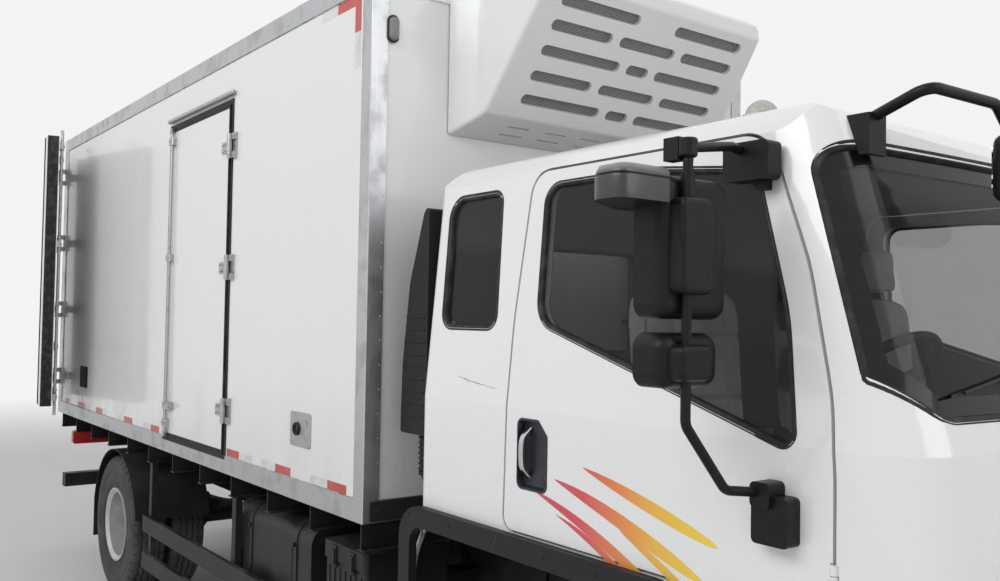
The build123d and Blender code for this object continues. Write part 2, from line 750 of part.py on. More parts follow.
def hinge_pin_set(x, y, z, toward):
    """Fixed half at a height z; toward is a block from the axis to what carries it."""
    half = barrel_height / 2 + ear_gap
    top = half + ear_height
    solid = rod((x, y, z - top), (x, y, z + top), hinge_pin)
    for low in (-top, half):
        solid += rod((x, y, z + low), (x, y, z + low + ear_height), hinge_radius)
        solid += block(toward[0], toward[1], (z + low, z + low + ear_height))
    bare = rod((x, y, z - half), (x, y, z + half), hinge_radius + 40)
    core = rod((x, y, z - half), (x, y, z + half), hinge_pin)
    return solid - (bare - core)


def hinge_blade(x, y, z, blade, height=barrel_height):
    barrel = rod((x, y, z - barrel_height / 2), (x, y, z + barrel_height / 2), hinge_radius)
    barrel += block(blade[0], blade[1], (z - barrel_height / 2, z + barrel_height / 2))
    return barrel - rod((x, y, z - height), (x, y, z + height), hinge_pin + pin_clearance)


# Rear doors: the right one stands open against the side, as it is used while loading

rear_opening_y = box_side_y - 65
rear_opening_z = (box_bottom_z + sill_height, box_top_z - header_height)
rear_door_gap = 6
centre_gap = 10                 # each door's free edge from the middle
rear_door_thickness = 90
rear_hinge_x = box_rear_x - 14
rear_hinge_y = box_side_y + 30
rear_hinge_z = [rear_opening_z[0] + f * (rear_opening_z[1] - rear_opening_z[0]) for f in (0.08, 0.36, 0.64, 0.92)]
rear_door_rest = 258
lock_bar_radius = 11
lock_bar_x = box_rear_x - 16


def rear_door():
    """The left door, closed: a flush panel with a stepped edge for its seal."""
    span = (centre_gap, rear_opening_y - rear_door_gap)
    z = (rear_opening_z[0] + rear_door_gap, rear_opening_z[1] - rear_door_gap)
    panel = block((box_rear_x, box_rear_x + rear_door_thickness), span, z)
    return chamfer(panel.faces().sort_by(Axis.X)[-1].edges(), 10)


def rear_door_hinges():
    blades = []
    for z in rear_hinge_z:
        blade = ((box_rear_x - 8, box_rear_x), (rear_opening_y - 140, rear_hinge_y))
        blades.append(hinge_blade(rear_hinge_x, rear_hinge_y, z, blade))
    return blades


def rear_door_lock():
    bars = None
    for y in (140, rear_opening_y - 260):
        bar = rod((lock_bar_x, y, rear_opening_z[0] - 70), (lock_bar_x, y, rear_opening_z[1] + 60), lock_bar_radius)
        for z in (rear_opening_z[0] + 60, rear_opening_z[1] - 60,
                  (rear_opening_z[0] + rear_opening_z[1]) / 2 + 200):
            guide = block((lock_bar_x - 15, box_rear_x), (y - 38, y + 38), (z - 25, z + 25))
            bar += fillet(guide.edges().filter_by(Axis.Z).filter_by(lambda e: e.center().X < lock_bar_x), 12)
        for z in (rear_opening_z[0] - 70, rear_opening_z[1] + 30):
            bar += block((lock_bar_x - 9, lock_bar_x + 8), (y - 14, y + 34), (z, z + 30))
        bars = bar if bars is None else bars + bar
    lever_z = rear_opening_z[0] + 420
    for y, toward in ((140, 1), (rear_opening_y - 260, -1)):
        lever = (y, y + 300) if toward > 0 else (y - 300, y)
        rest = (y + 255, y + 305) if toward > 0 else (y - 305, y - 255)
        bars += block((lock_bar_x - 11, lock_bar_x + 1), lever, (lever_z - 15, lever_z + 15))
        bars += block((lock_bar_x - 11, box_rear_x), rest, (lever_z - 30, lever_z + 30))
    return bars


def rear_hinge_ears():
    ears = []
    for z in rear_hinge_z:
        carrier = ((rear_hinge_x, box_rear_x + 50), (box_side_y, rear_hinge_y))
        ears.append(hinge_pin_set(rear_hinge_x, rear_hinge_y, z, carrier))
    return ears


def build_rear_doors():
    to_rest = Pos(rear_hinge_x, -rear_hinge_y, 0) * Rot(0, 0, rear_door_rest) * Pos(-rear_hinge_x, rear_hinge_y, 0)
    door, hinges, lock = rear_door(), rear_door_hinges(), rear_door_lock()
    save("rear_door_left", door)
    save("rear_door_gear_left", hinges + [lock])
    save("rear_door_right", to_rest * other_side(door))
    save("rear_door_gear_right", [to_rest * other_side(one) for one in hinges + [lock]])
    ears = [ear for one in rear_hinge_ears() for ear in both_sides(one)]
    save("box_fittings", ears + side_hinge_brackets() + [door_gutter()])


# Side door, flush in the right wall, hinged at its front edge

side_hinge_x = side_door_x[1] + 30
side_hinge_y = -box_side_y - 14
side_hinge_z = [side_door_z[0] + f * (side_door_z[1] - side_door_z[0]) for f in (0.12, 0.53, 0.88)]
side_lock_x = side_door_x[0] + 55
side_lock_y = -box_side_y - 16


def side_door():
    panel = block(side_door_x, (-box_side_y, -box_side_y + side_door_thickness), side_door_z)
    return chamfer(panel.faces().sort_by(Axis.Y)[-1].edges(), 8)


def side_door_frame():
    width = side_frame_width
    gap = side_door_gap
    low, high = side_door_z[0] - gap, side_door_z[1] + gap
    x = (side_door_x[0] - gap, side_door_x[1] + gap)
    ring = block((x[0] - width, x[1] + width), (-box_side_y + 2, -wall_y), (low - width, high + width))
    ring -= block(x, (-box_side_y - 3, -wall_y + 1), (low, high))
    return ring


def side_door_hinges():
    blade = ((side_door_x[1] - 95, side_hinge_x), (-box_side_y - 8, -box_side_y))
    return [hinge_blade(side_hinge_x, side_hinge_y, z, blade) for z in side_hinge_z]


def side_hinge_brackets():
    carrier = ((side_hinge_x, side_hinge_x + 62), (-box_side_y - 10, -box_side_y + 2))
    brackets = []
    half = barrel_height / 2 + ear_gap + ear_height
    for z in side_hinge_z:
        foot = block((side_door_x[1] + side_door_gap + side_frame_width, side_hinge_x + 62),
                     (-box_side_y, -wall_y), (z - half, z + half))
        brackets.append(hinge_pin_set(side_hinge_x, side_hinge_y, z, carrier) + foot)
    return brackets


def side_door_lock():
    x, y = side_lock_x, side_lock_y
    lock = rod((x, y, side_door_z[0] - 10), (x, y, side_door_z[1] + 10), 9)
    for z in (side_door_z[0] + 70, side_door_z[0] + 1050, side_door_z[1] - 70):
        guide = block((x - 34, x + 34), (y - 12, -box_side_y), (z - 22, z + 22))
        lock += fillet(guide.edges().filter_by(Axis.Z).filter_by(lambda e: e.center().Y < y), 10)
    for z in (side_door_z[0] - 10, side_door_z[1] - 22):
        lock += block((x - 26, x + 12), (y - 8, y + 8), (z, z + 32))
    handle_z = side_door_z[0] + 175
    lock += block((x - 30, x + 95), (y - 9, -box_side_y), (handle_z - 22, handle_z + 22))
    lock += block((x, x + 120), (y - 15, y - 5), (handle_z - 9, handle_z + 9))
    return lock


# Drip gutter above the side door: a round bar along the wall with its two ends dropping

def door_gutter():
    z = side_door_z[1] + 62
    y = -wall_y - 13
    ends = (side_door_x[0] - 40, side_door_x[1] + 60)
    tube = rod((ends[0], y, z), (ends[1], y, z), 13)
    return fillet(tube.edges(), 11)


# Refrigeration unit on the front wall: leaning front face with five rows of slots

unit_plan = [(0, 775), (130, 712), (600, 640)]      # out from the box front, half width
unit_profile = [(0, 2722), (163, 2798), (512, 3285), (500, 3350), (420, 3400), (0, 3400)]
unit_radii = [0, 34, 30, 40, 60, 0]
unit_low = (90, 2700)           # the leaning face, out from the box front and in Z
unit_high = (520, 3300)
unit_corner = 20
unit_grille_depth = 26
slot_height = 48
slot_rows = [
    # distance up the face from its lower edge, then each slot's (middle, half length) along Y
    (213, [(-331, 221), (0, 66), (331, 221)]),
    (322, [(-384, 169), (0, 169), (384, 169)]),
    (436, [(-331, 221), (0, 66), (331, 221)]),
    (547, [(-384, 169), (0, 169), (384, 169)]),
    (652, [(-331, 221), (331, 221)]),
]
slit_rows = [58, 116]           # on the underside, up from the box front
slit_table = [(-480, 62), (-268, 62), (-56, 62), (156, 62), (368, 62)]
slit_height = 12
slit_depth = 16


def unit_face_plane():
    low = Vector(box_front_x + unit_low[0], 0, unit_low[1])
    high = Vector(box_front_x + unit_high[0], 0, unit_high[1])
    up = (high - low).normalized()
    return Plane(origin=low, x_dir=(0, 1, 0), z_dir=Vector(0, 1, 0).cross(up))


def unit_underside_plane():
    back = Vector(box_front_x + unit_profile[0][0], 0, unit_profile[0][1])
    front = Vector(box_front_x + unit_profile[1][0], 0, unit_profile[1][1])
    up = (front - back).normalized()
    return Plane(origin=back, x_dir=(0, 1, 0), z_dir=Vector(0, 1, 0).cross(up))


def fridge_housing():
    points = [(box_front_x + x, z) for x, z in unit_profile]
    body = side_prism(outline(points, unit_radii), (-unit_plan[0][1], unit_plan[0][1]))
    plan = [(box_front_x + x, y) for x, y in unit_plan] + [(box_front_x + x, -y) for x, y in reversed(unit_plan)]
    body &= Pos(0, 0, unit_profile[0][1] - 100) * extrude(outline(plan, [0, 240, 0, 0, 240, 0]), amount=1000)
    corners = body.edges().filter_by(
        lambda e: abs(e.center().Y) > 600 and e.center().X > box_front_x + 1)
    body = fillet(corners, unit_corner)
    plane = unit_face_plane()
    for up, slots in slot_rows:
        for middle, half in slots:
            slot = Pos(middle, up) * SlotOverall(2 * half, slot_height)
            body -= extrude(plane * slot, amount=-unit_grille_depth, both=False)
            body -= extrude(plane * slot, amount=20)
    under = unit_underside_plane()
    for up in slit_rows:
        for middle, half in slit_table:
            slot = Pos(middle, up) * SlotOverall(2 * half, slit_height)
            body -= extrude(under * slot, amount=-slit_depth)
            body -= extrude(under * slot, amount=10)
    return body


def fridge_grille():
    plane = unit_face_plane()
    meshes = []
    for up, slots in slot_rows:
        for middle, half in slots:
            slot = Pos(middle, up) * SlotOverall(2 * half, slot_height)
            meshes.append(extrude(plane.offset(-unit_grille_depth) * slot, amount=10))
    return meshes


def build_box():
    save("box_subframe", box_subframe())
    save("box_floor", box_floor())
    save("box_walls", [box_wall(1), box_wall(-1), box_front_wall()])
    save("box_roof", box_roof())
    save("box_rails", box_rails())
    save("rear_frame", rear_frame())
    save("side_door", side_door())
    save("side_door_gear", side_door_hinges() + [side_door_lock()])
    save("side_door_frame", side_door_frame())
    save("fridge_housing", fridge_housing())
    save("fridge_grille", fridge_grille())


def build_chassis():
    save("front_axle", front_axle())
    for side, place in (("left", lambda s: s), ("right", other_side)):
        save(f"knuckle_{side}", place(knuckle()))
    save("tie_rod", tie_rod())
    save("rear_axle", rear_axle())
    springs = [leaf_spring(*row) for row in spring_table]
    save("leaf_springs", [one for spring in springs for one in both_sides(spring)])
    save("chassis_frame", chassis_frame())
    save("drive_train", [engine_block()] + propeller_shaft())
    save("tanks", fuel_tank() + air_tanks())
    save("battery_box", battery_box())
    save("exhaust", exhaust())
    save("guards", side_guard(-1) + side_guard(1) + underrun_bar())
    save("buffers", buffers())
    save("tail_lamps", tail_lamps())
    save("mudguards", rear_mudguards() + front_mudguards())
    save("air_intake", air_intake())


# Cab shell: sections of the body at three heights, cut by the roof's two outlines

cab_sections = [
    # height, back, front at the middle, half width, front corner radius, bow of the front
    (820, 0, 2105, cab_side_y, 200, 45),
    (1650, 0, 2000, cab_side_y, 200, 45),
    (2640, 30, 1695, cab_side_y - 72, 170, 60),
]
cab_roof_side = [(-40, 700), (-40, 2290), (70, 2500), (560, 2570), (1330, 2568), (1640, 2500), (1790, 2395),
                 (2400, 2300), (2400, 700)]
cab_roof_side_radii = [0, 160, 200, 900, 700, 250, 60, 0, 0]
cab_roof_front = [(-1100, 700), (-1100, 2300), (-960, 2510), (0, 2585), (960, 2510), (1100, 2300), (1100, 700)]
cab_roof_front_radii = [0, 90, 130, 3000, 130, 90, 0]
door_gap = 9


def cab_section(height, back, front, half_width, corner, bow, inset):
    x0 = cab_rear_x + back + inset
    x1 = cab_rear_x + front - inset
    y = half_width - inset
    edges = [Line((x0, y), (x0, -y)), Line((x0, -y), (x1 - bow, -y)),
             ThreePointArc((x1 - bow, -y), (x1, 0), (x1 - bow, y)), Line((x1 - bow, y), (x0, y))]
    face = make_face(edges)
    front_corners = face.vertices().group_by(Axis.X)[-1]
    face = fillet(front_corners, corner - inset)
    face = fillet(face.vertices().group_by(Axis.X)[0], 40 - inset / 2)
    return Pos(0, 0, height) * face


def cab_body(inset):
    """The cab's outer form, moved inwards by inset."""
    walls = loft([cab_section(*row, inset) for row in cab_sections], ruled=True)
    side = [(cab_rear_x + x, z) for x, z in cab_roof_side]
    roof = side_prism(offset(outline(side, cab_roof_side_radii), -inset), (-1200, 1200))
    front = front_prism(offset(outline(cab_roof_front, cab_roof_front_radii), -inset), (cab_rear_x - 100, front_x + 100))
    return walls & roof & front


def ahead(points):
    """Points given from the box front, as places in X."""
    return [(box_front_x + x, z) for x, z in points]


cab_door_outline = [(816, 1250), (834, 1940), (886, 2432), (1822, 2430), (1962, 2085), (2044, 1760), (2056, 1590), (2056, 905),
                    (1875, 905), (1850, 1000), (1640, 1250)]
cab_door_radii = [45, 1500, 85, 120, 700, 700, 900, 30, 30, 60, 120]
door_window_outline = [(950, 2385), (950, 1932), (1956, 1630), (1916, 1960), (1796, 2340), (1400, 2385)]
door_window_radii = [70, 100, 35, 700, 70, 900]
quarter_window_outline = [(400, 2385), (400, 1908), (728, 1908), (712, 2385)]
quarter_window_radii = [80, 55, 50, 40]
windscreen_outline = [(-1090, 1872), (-900, 1722), (900, 1722), (1090, 1872), (1090, 2386), (-1090, 2386)]
windscreen_radii = [0, 110, 110, 0, 0, 0]
windscreen_edge = [(2157, 1650), (1922, 2386), (2500, 2386), (2500, 1650)]     # seen from the side
windscreen_edge_radii = [0, 60, 0, 0]
rear_window_outline = [(-560, 1800), (560, 1800), (560, 2240), (-560, 2240)]
arch_outer = [(205, 760), (205, 1240), (1610, 1240), (1830, 980), (1855, 760)]
arch_outer_radii = [0, 130, 220, 260, 0]
arch_inner = [(280, 700), (280, 1166), (1560, 1166), (1750, 950), (1775, 700)]
arch_inner_radii = [0, 70, 180, 220, 0]
flare_depth = 34
cab_hinge_x = box_front_x + 2056 + door_gap / 2
cab_hinge_y = cab_side_y
cab_hinge_z = [1012, 1340]
cab_hinge_pin = 5
cab_hinge_radius = 10
cab_barrel_half = 26
cab_ear_height = 24
cab_hinge_clear = 2


def door_prism(side, grow):
    face = outline(ahead(cab_door_outline), cab_door_radii)
    if grow:
        face = offset(face, grow)
    return side_prism(face, (700, 1300) if side > 0 else (-1300, -700))


def window_prism(points, radii, side):
    return side_prism(outline(ahead(points), radii), (700, 1300) if side > 0 else (-1300, -700))


def windscreen_prism():
    sides = side_prism(outline(ahead(windscreen_edge), windscreen_edge_radii), (-1200, 1200))
    return sides & front_prism(outline(windscreen_outline, windscreen_radii), (box_front_x + 1860, front_x + 50))


def cab_openings(inner):
    """All that is taken out of the cab's outer form to leave its walls, roof and floor."""
    step_x = footwell_x + floor_thickness
    room = block((cab_rear_x, step_x), (-1100, 1100), (cab_floor_z + floor_thickness, 2700))
    room += block((step_x, front_x), (-1100, 1100), (footwell_z + floor_thickness, 2700))
    core = cab_body(cab_wall + running_gap)
    cuts = [block((cab_rear_x - 200, footwell_x), (-1200, 1200), (600, cab_floor_z)),
            block((footwell_x - 1, front_x + 50), (-1200, 1200), (600, footwell_z)),
            inner & room,
            windscreen_prism(),
            front_prism(outline(rear_window_outline, 60), (cab_rear_x - 50, cab_rear_x + 120))]
    for side in (-1, 1):
        cuts.append(door_prism(side, door_gap) - core)
        cuts.append(window_prism(quarter_window_outline, quarter_window_radii, side))
    return cuts


def cab_panel(outer, region, cuts):
    """The part of the cab's shell that lies in a region."""
    panel = outer & region
    for cut in cuts:
        panel -= cut
    return max(panel.solids(), key=lambda solid: solid.volume)


def cab_door_leaf(outer, inner, side):
    leaf = (outer - inner) & door_prism(side, 0)
    leaf -= window_prism(door_window_outline, door_window_radii, side)
    recess_x = box_front_x + 885
    y = cab_side_y * side
    recess = outline([(recess_x, 1395), (recess_x + 150, 1395), (recess_x + 150, 1570), (recess_x + 105, 1618),
                      (recess_x, 1618)], [25, 25, 12, 12, 25])
    leaf -= side_prism(recess, (y - 26, y + 10) if side > 0 else (y - 10, y + 26))
    x = cab_hinge_x
    axis_y = cab_hinge_y * side
    for z in cab_hinge_z:
        top = cab_barrel_half + cab_hinge_clear + cab_ear_height + cab_hinge_clear
        leaf -= rod((x, axis_y, z - top), (x, axis_y, z + top), cab_hinge_radius + cab_hinge_clear)
        barrel = rod((x, axis_y, z - cab_barrel_half), (x, axis_y, z + cab_barrel_half), cab_hinge_radius)
        tab_y = (axis_y - 8, axis_y) if side > 0 else (axis_y, axis_y + 8)
        barrel += block((x - 24, x), tab_y, (z - cab_barrel_half, z + cab_barrel_half))
        barrel -= rod((x, axis_y, z - top), (x, axis_y, z + top), cab_hinge_pin + pin_clearance)
        leaf += barrel
    return leaf


def cab_hinge_halves(side):
    """The cab's half of both hinges, to be joined to the front of the shell."""
    x = cab_hinge_x
    y = cab_hinge_y * side
    tab_y = (y - 8, y) if side > 0 else (y, y + 8)
    halves = []
    for z in cab_hinge_z:
        low = cab_barrel_half + cab_hinge_clear
        high = low + cab_ear_height
        half = rod((x, y, z - high), (x, y, z + high), cab_hinge_pin)
        for start in (-high, low):
            half += rod((x, y, z + start), (x, y, z + start + cab_ear_height), cab_hinge_radius)
            half += block((x, x + 24), tab_y, (z + start, z + start + cab_ear_height))
        halves.append(half)
    return halves


roof_split_z = 2368
front_split_x = box_front_x + 1700


def build_cab():
    outer, inner = cab_body(0), cab_body(cab_wall)
    cuts = cab_openings(inner)
    wide = (-1300, 1300)
    far = (cab_rear_x - 100, front_x + 100)
    floor_cut = cab_floor_z + floor_thickness
    low_cut = footwell_z + floor_thickness
    step_x = footwell_x + floor_thickness
    roof = cab_panel(outer, block(far, wide, (roof_split_z, 2800)), cuts)
    back = cab_panel(outer, block((far[0], front_split_x), wide, (floor_cut, roof_split_z)), cuts)
    front = cab_panel(outer, block((front_split_x, far[1]), wide, (floor_cut, roof_split_z)) +
                      block((step_x, far[1]), wide, (low_cut, floor_cut)), cuts)
    front -= grille_prism() - cab_body(grille_depth)
    floor = cab_panel(outer, block((far[0], step_x), wide, (600, floor_cut)) +
                      block((step_x, far[1]), wide, (600, low_cut)), cuts)
    for side in (-1, 1):
        y = cab_hinge_y * side
        clear = cab_barrel_half + cab_hinge_clear
        for z in cab_hinge_z:
            front -= rod((cab_hinge_x, y, z - clear), (cab_hinge_x, y, z + clear), cab_hinge_radius + cab_hinge_clear)
        for half in cab_hinge_halves(side):
            front += half
    for side in (-1, 1):
        y = (cab_pivot_y + 2, cab_pivot_y + 42) if side > 0 else (-cab_pivot_y - 42, -cab_pivot_y - 2)
        ear = block((cab_pivot_x - 32, cab_pivot_x + 32), y, (cab_pivot_z - 32, footwell_z))
        ear = fillet(ear.edges().filter_by(Axis.Y).group_by(Axis.Z)[0], 30)
        ear -= rod((cab_pivot_x, y[0] - 1, cab_pivot_z), (cab_pivot_x, y[1] + 1, cab_pivot_z),
                   cab_pivot_radius + pin_clearance)
        floor += ear
    save("cab_roof", roof)
    save("cab_back", back)
    save("cab_front_panel", front)
    save("cab_floor", floor)
    pane = cab_body(glass_inset) - cab_body(glass_inset + glass_thickness)
    panes = [pane & windscreen_prism(),
             pane & front_prism(outline(rear_window_outline, 60), (cab_rear_x - 50, cab_rear_x + 120))]
    for side in (-1, 1):
        panes.append(pane & window_prism(quarter_window_outline, quarter_window_radii, side))
    save("cab_windows", panes)
    for name, side in (("left", 1), ("right", -1)):
        leaf = cab_door_leaf(outer, inner, side)
        save(f"cab_door_{name}", leaf)
        save(f"cab_door_glass_{name}", pane & window_prism(door_window_outline, door_window_radii, side))
    flare = side_prism(outline(ahead(arch_outer), arch_outer_radii) - outline(ahead(arch_inner), arch_inner_radii),
                       (cab_side_y, cab_side_y + flare_depth))
    save("cab_steps", both_sides(flare) + cab_steps())


# What the cab carries: bumper, lamps, grille, steps, mudguards and mirrors

bumper_z = (430, footwell_z)
bumper_top = 22


def front_bumper():
    x = box_front_x
    plan = outline([(x + 2240, 1085), (x + 2400, 1085), (x + 2520, 900), (x + 2520, -900), (x + 2400, -1085),
                    (x + 2240, -1085), (x + 2240, -1045), (x + 2385, -1045), (x + 2475, -880),
                    (x + 2475, 880), (x + 2385, 1045), (x + 2240, 1045)],
                   [0, 90, 130, 130, 90, 0, 0, 60, 90, 90, 60, 0])
    shell = Pos(0, 0, bumper_z[0]) * extrude(plan, amount=bumper_z[1] - bumper_z[0])
    top = outline([(x + 2300, 1085), (x + 2400, 1085), (x + 2520, 900), (x + 2520, -900), (x + 2400, -1085),
                   (x + 2300, -1085)], [0, 90, 130, 130, 90, 0])
    shell += Pos(0, 0, bumper_z[1] - bumper_top) * extrude(top, amount=bumper_top)
    for y in (-760, 760):
        shell -= block((x + 2380, x + 2530), (y - 190, y + 190), (640, 810))
    shell -= block((x + 2460, x + 2530), (-480, 480), (520, 620))
    return shell


def headlamps():
    x = box_front_x
    lamps = []
    for y in (-760, 760):
        lamp = block((x + 2382, x + 2508), (y - 190, y + 190), (640, 810))
        lamps.append(fillet(lamp.edges().filter_by(Axis.X), 18))
    return lamps


def cab_steps():
    x = (box_front_x + 1860, box_front_x + 2236)
    y = (780, cab_side_y)
    step = block(x, (y[0], y[0] + 12), (430, footwell_z))
    for z in (430, 660):
        step += block(x, y, (z, z + 24))
    for end in (x[0], x[1] - 14):
        step += block((end, end + 14), y, (430, footwell_z))
    return both_sides(step)


def dashboard():
    x = box_front_x
    face = outline([(x + 2035, 1480), (x + 2010, 1640), (x + 2060, 1700), (x + 2300, 1660), (x + 2300, 1450)],
                   [40, 40, 40, 0, 0])
    body = side_prism(face, (-1010, 1010))
    return body & cab_body(cab_wall)


seat_table = [
    # middle in Y, width
    (-560, 520),
    (380, 900),
]


def seats():
    x = box_front_x
    pieces = []
    for y, width in seat_table:
        span = (y - width / 2, y + width / 2)
        base = block((x + 1260, x + 1700), (span[0] + 40, span[1] - 40), (cab_floor_z + floor_thickness, 1330))
        cushion = block((x + 1200, x + 1760), span, (1330, 1460))
        cushion = fillet(cushion.edges(), 40)
        back = side_prism(outline([(x + 1120, 1440), (x + 1250, 1440), (x + 1190, 2080), (x + 1070, 2080)], 35), span)
        rests = []
        for middle in ([y] if width < 600 else [y - width / 4, y + width / 4]):
            rest = side_prism(outline([(x + 1075, 2070), (x + 1165, 2070), (x + 1150, 2270), (x + 1065, 2270)], 30),
                              (middle - 140, middle + 140))
            rests.append(rest)
        seat = base + cushion + back
        for rest in rests:
            seat += rest
        pieces.append(seat)
    return pieces


def rear_bench():
    x = box_front_x
    return fillet(block((x + 420, x + 860), (-960, 960), (cab_floor_z + floor_thickness, 1450)).edges(), 30)


wheel_centre = (box_front_x + 1830, -560, 1770)
wheel_tilt = 42
steering_wheel_radius = 215
column_radius = 24


def steering_place():
    return Plane(origin=wheel_centre, x_dir=(0, 1, 0),
                 z_dir=(-sin(radians(wheel_tilt)), 0, cos(radians(wheel_tilt))))


def steering_wheel():
    plane = steering_place()
    rim_ring = Torus(steering_wheel_radius, 15)
    hub_disc = Pos(0, 0, -45) * Cylinder(60, 50, align=(Align.CENTER, Align.CENTER, Align.MIN))
    wheel = rim_ring + hub_disc
    for angle in (90, 210, 330):
        wheel += Rot(0, 0, angle) * Pos(steering_wheel_radius / 2 + 10, 0, -12) * Box(steering_wheel_radius - 40, 32, 12)
    bore = Pos(0, 0, -46) * Cylinder(14 + pin_clearance, 40, align=(Align.CENTER, Align.CENTER, Align.MIN))
    return plane.location * (wheel - bore)


def steering_column():
    plane = steering_place()
    column = Pos(0, 0, -330) * Cylinder(column_radius + 14, 270, align=(Align.CENTER, Align.CENTER, Align.MIN))
    column += Pos(0, 0, -70) * Cylinder(14, 62, align=(Align.CENTER, Align.CENTER, Align.MIN))
    return plane.location * column


def roof_lamp():
    x, y = box_front_x + 1640, -800
    base = Pos(x, y, 2500) * Cylinder(52, 60)
    dome = Pos(x, y, 2530) * Sphere(46)
    lamp = base + dome
    return lamp - cab_body(0)


mirror_tube = 12
mirror_x = box_front_x + 1857
mirror_y = 1350
mirror_top_z = 2345
mirror_mount_x = box_front_x + 1804


def mirror_arm():
    """Left side; the tube and its two mounts."""
    route = [(mirror_mount_x - 20, 1058, 2378), (mirror_mount_x + 6, 1140, 2380), (mirror_x, mirror_y, mirror_top_z),
             (mirror_x, mirror_y, 1705), (mirror_x + 6, 1215, 1545), (mirror_x + 35, 1085, 1532)]
    tube = bent_tube(route, 40, mirror_tube)
    low_mount = fillet(block((box_front_x + 1862, box_front_x + 1968), (cab_side_y, cab_side_y + 48),
                             (1412, 1530)).edges().filter_by(Axis.Y), 14)
    low_mount += fillet(block((box_front_x + 1868, box_front_x + 1925), (cab_side_y, cab_side_y + 62),
                              (1500, 1562)).edges().filter_by(Axis.Y), 14)
    high_mount = block((mirror_mount_x + 16, mirror_mount_x + 42), (985, 1060), (2278, 2332))
    cap = block((mirror_mount_x - 62, mirror_mount_x + 78), (1036, 1090), (2300, 2398))
    high_mount += fillet(cap.edges().filter_by(Axis.Y), 16)
    return tube, low_mount, high_mount


def mirror_heads():
    heads = []
    table = [
        # low and high Z, from and to in Y, the clamp's low and high Z
        (1948, 2283, 1185, 1415, 2005, 2228),
        (1787, 1916, 1215, 1415, 1806, 1890),
    ]
    for z0, z1, y0, y1, clamp_low, clamp_high in table:
        head = block((mirror_x - 107, mirror_x - 12), (y0, y1), (z0, z1))
        head = fillet(head.edges().filter_by(Axis.X), 38)
        head = fillet(head.faces().sort_by(Axis.X)[-1].edges(), 30)
        clamp = block((mirror_x - 16, mirror_x + 30), (mirror_y - 62, mirror_y + 44), (clamp_low, clamp_high))
        clamp = fillet(clamp.edges().filter_by(Axis.X), 20)
        clamp = fillet(clamp.faces().sort_by(Axis.X)[-1].edges(), 14)
        clamp -= rod((mirror_x, mirror_y, z0 - 100), (mirror_x, mirror_y, z1 + 100), mirror_tube)
        heads.append(head + clamp)
    x = mirror_x
    plan = outline([(x + 12, 1408), (x + 12, overall_width / 2), (x - 80, overall_width / 2), (x - 170, 1420),
                    (x - 170, 1290), (x - 106, 1290), (x - 106, 1408)], [20, 30, 50, 70, 30, 0, 0])
    kerb = Pos(0, 0, 2212) * extrude(plan, amount=74)
    heads[0] += chamfer(kerb.faces().sort_by(Axis.Z)[-1].edges(), 18)
    return heads


def front_mirror():
    x = box_front_x
    route = [(x + 1985, 872, 2440), (x + 2180, 884, 2504), (x + 2205, 610, 2498), (x + 2215, 520, 2400)]
    arm = bent_tube(route, 40, 14)
    foot = block((x + 1930, x + 2045), (838, 912), (2360, 2462))
    head = Pos(x + 2222, 500, 2340) * Box(70, 210, 170)
    head = fillet(head.edges(), 24)
    outside = (arm + foot - cab_body(0)).solids()
    return max(outside, key=lambda solid: solid.center().X) + head


grille_depth = 24
grille_outline = [(-640, 1010), (640, 1010), (700, 1330), (-700, 1330)]


def grille_prism():
    return front_prism(outline(grille_outline, 40), (box_front_x + 2180, box_front_x + 2460))


def grille():
    """A slatted panel set into the front of the cab."""
    panel = (cab_body(6) - cab_body(grille_depth)) & grille_prism()
    for row in range(4):
        low = 1050 + row * 66
        slot = outline([(-590, low), (590, low), (600, low + 34), (-600, low + 34)], 14)
        panel -= front_prism(slot, (box_front_x + 2180, box_front_x + 2460))
    return panel


def build_cab_fittings():
    save("front_bumper", front_bumper())
    save("cab_lamps", headlamps() + [roof_lamp()])
    save("dashboard", dashboard() + steering_column())
    save("seats", seats() + [rear_bench()])
    save("steering_wheel", steering_wheel())
    tube, low_mount, high_mount = mirror_arm()
    arm = tube + low_mount + high_mount - cab_body(0)
    heads = [head - tube for head in mirror_heads()]
    for side, place in (("left", lambda one: one), ("right", other_side)):
        save(f"mirrors_{side}", [place(one) for one in [arm] + heads])
    save("front_mirror", other_side(front_mirror()))
    save("grille", grille())


build_wheels()
build_chassis()
build_box()
build_rear_doors()
build_cab()
build_cab_fittings()
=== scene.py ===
import json
import math
from itertools import product

import bmesh
import bpy
from mathutils import Matrix, Vector
from mathutils.bvhtree import BVHTree

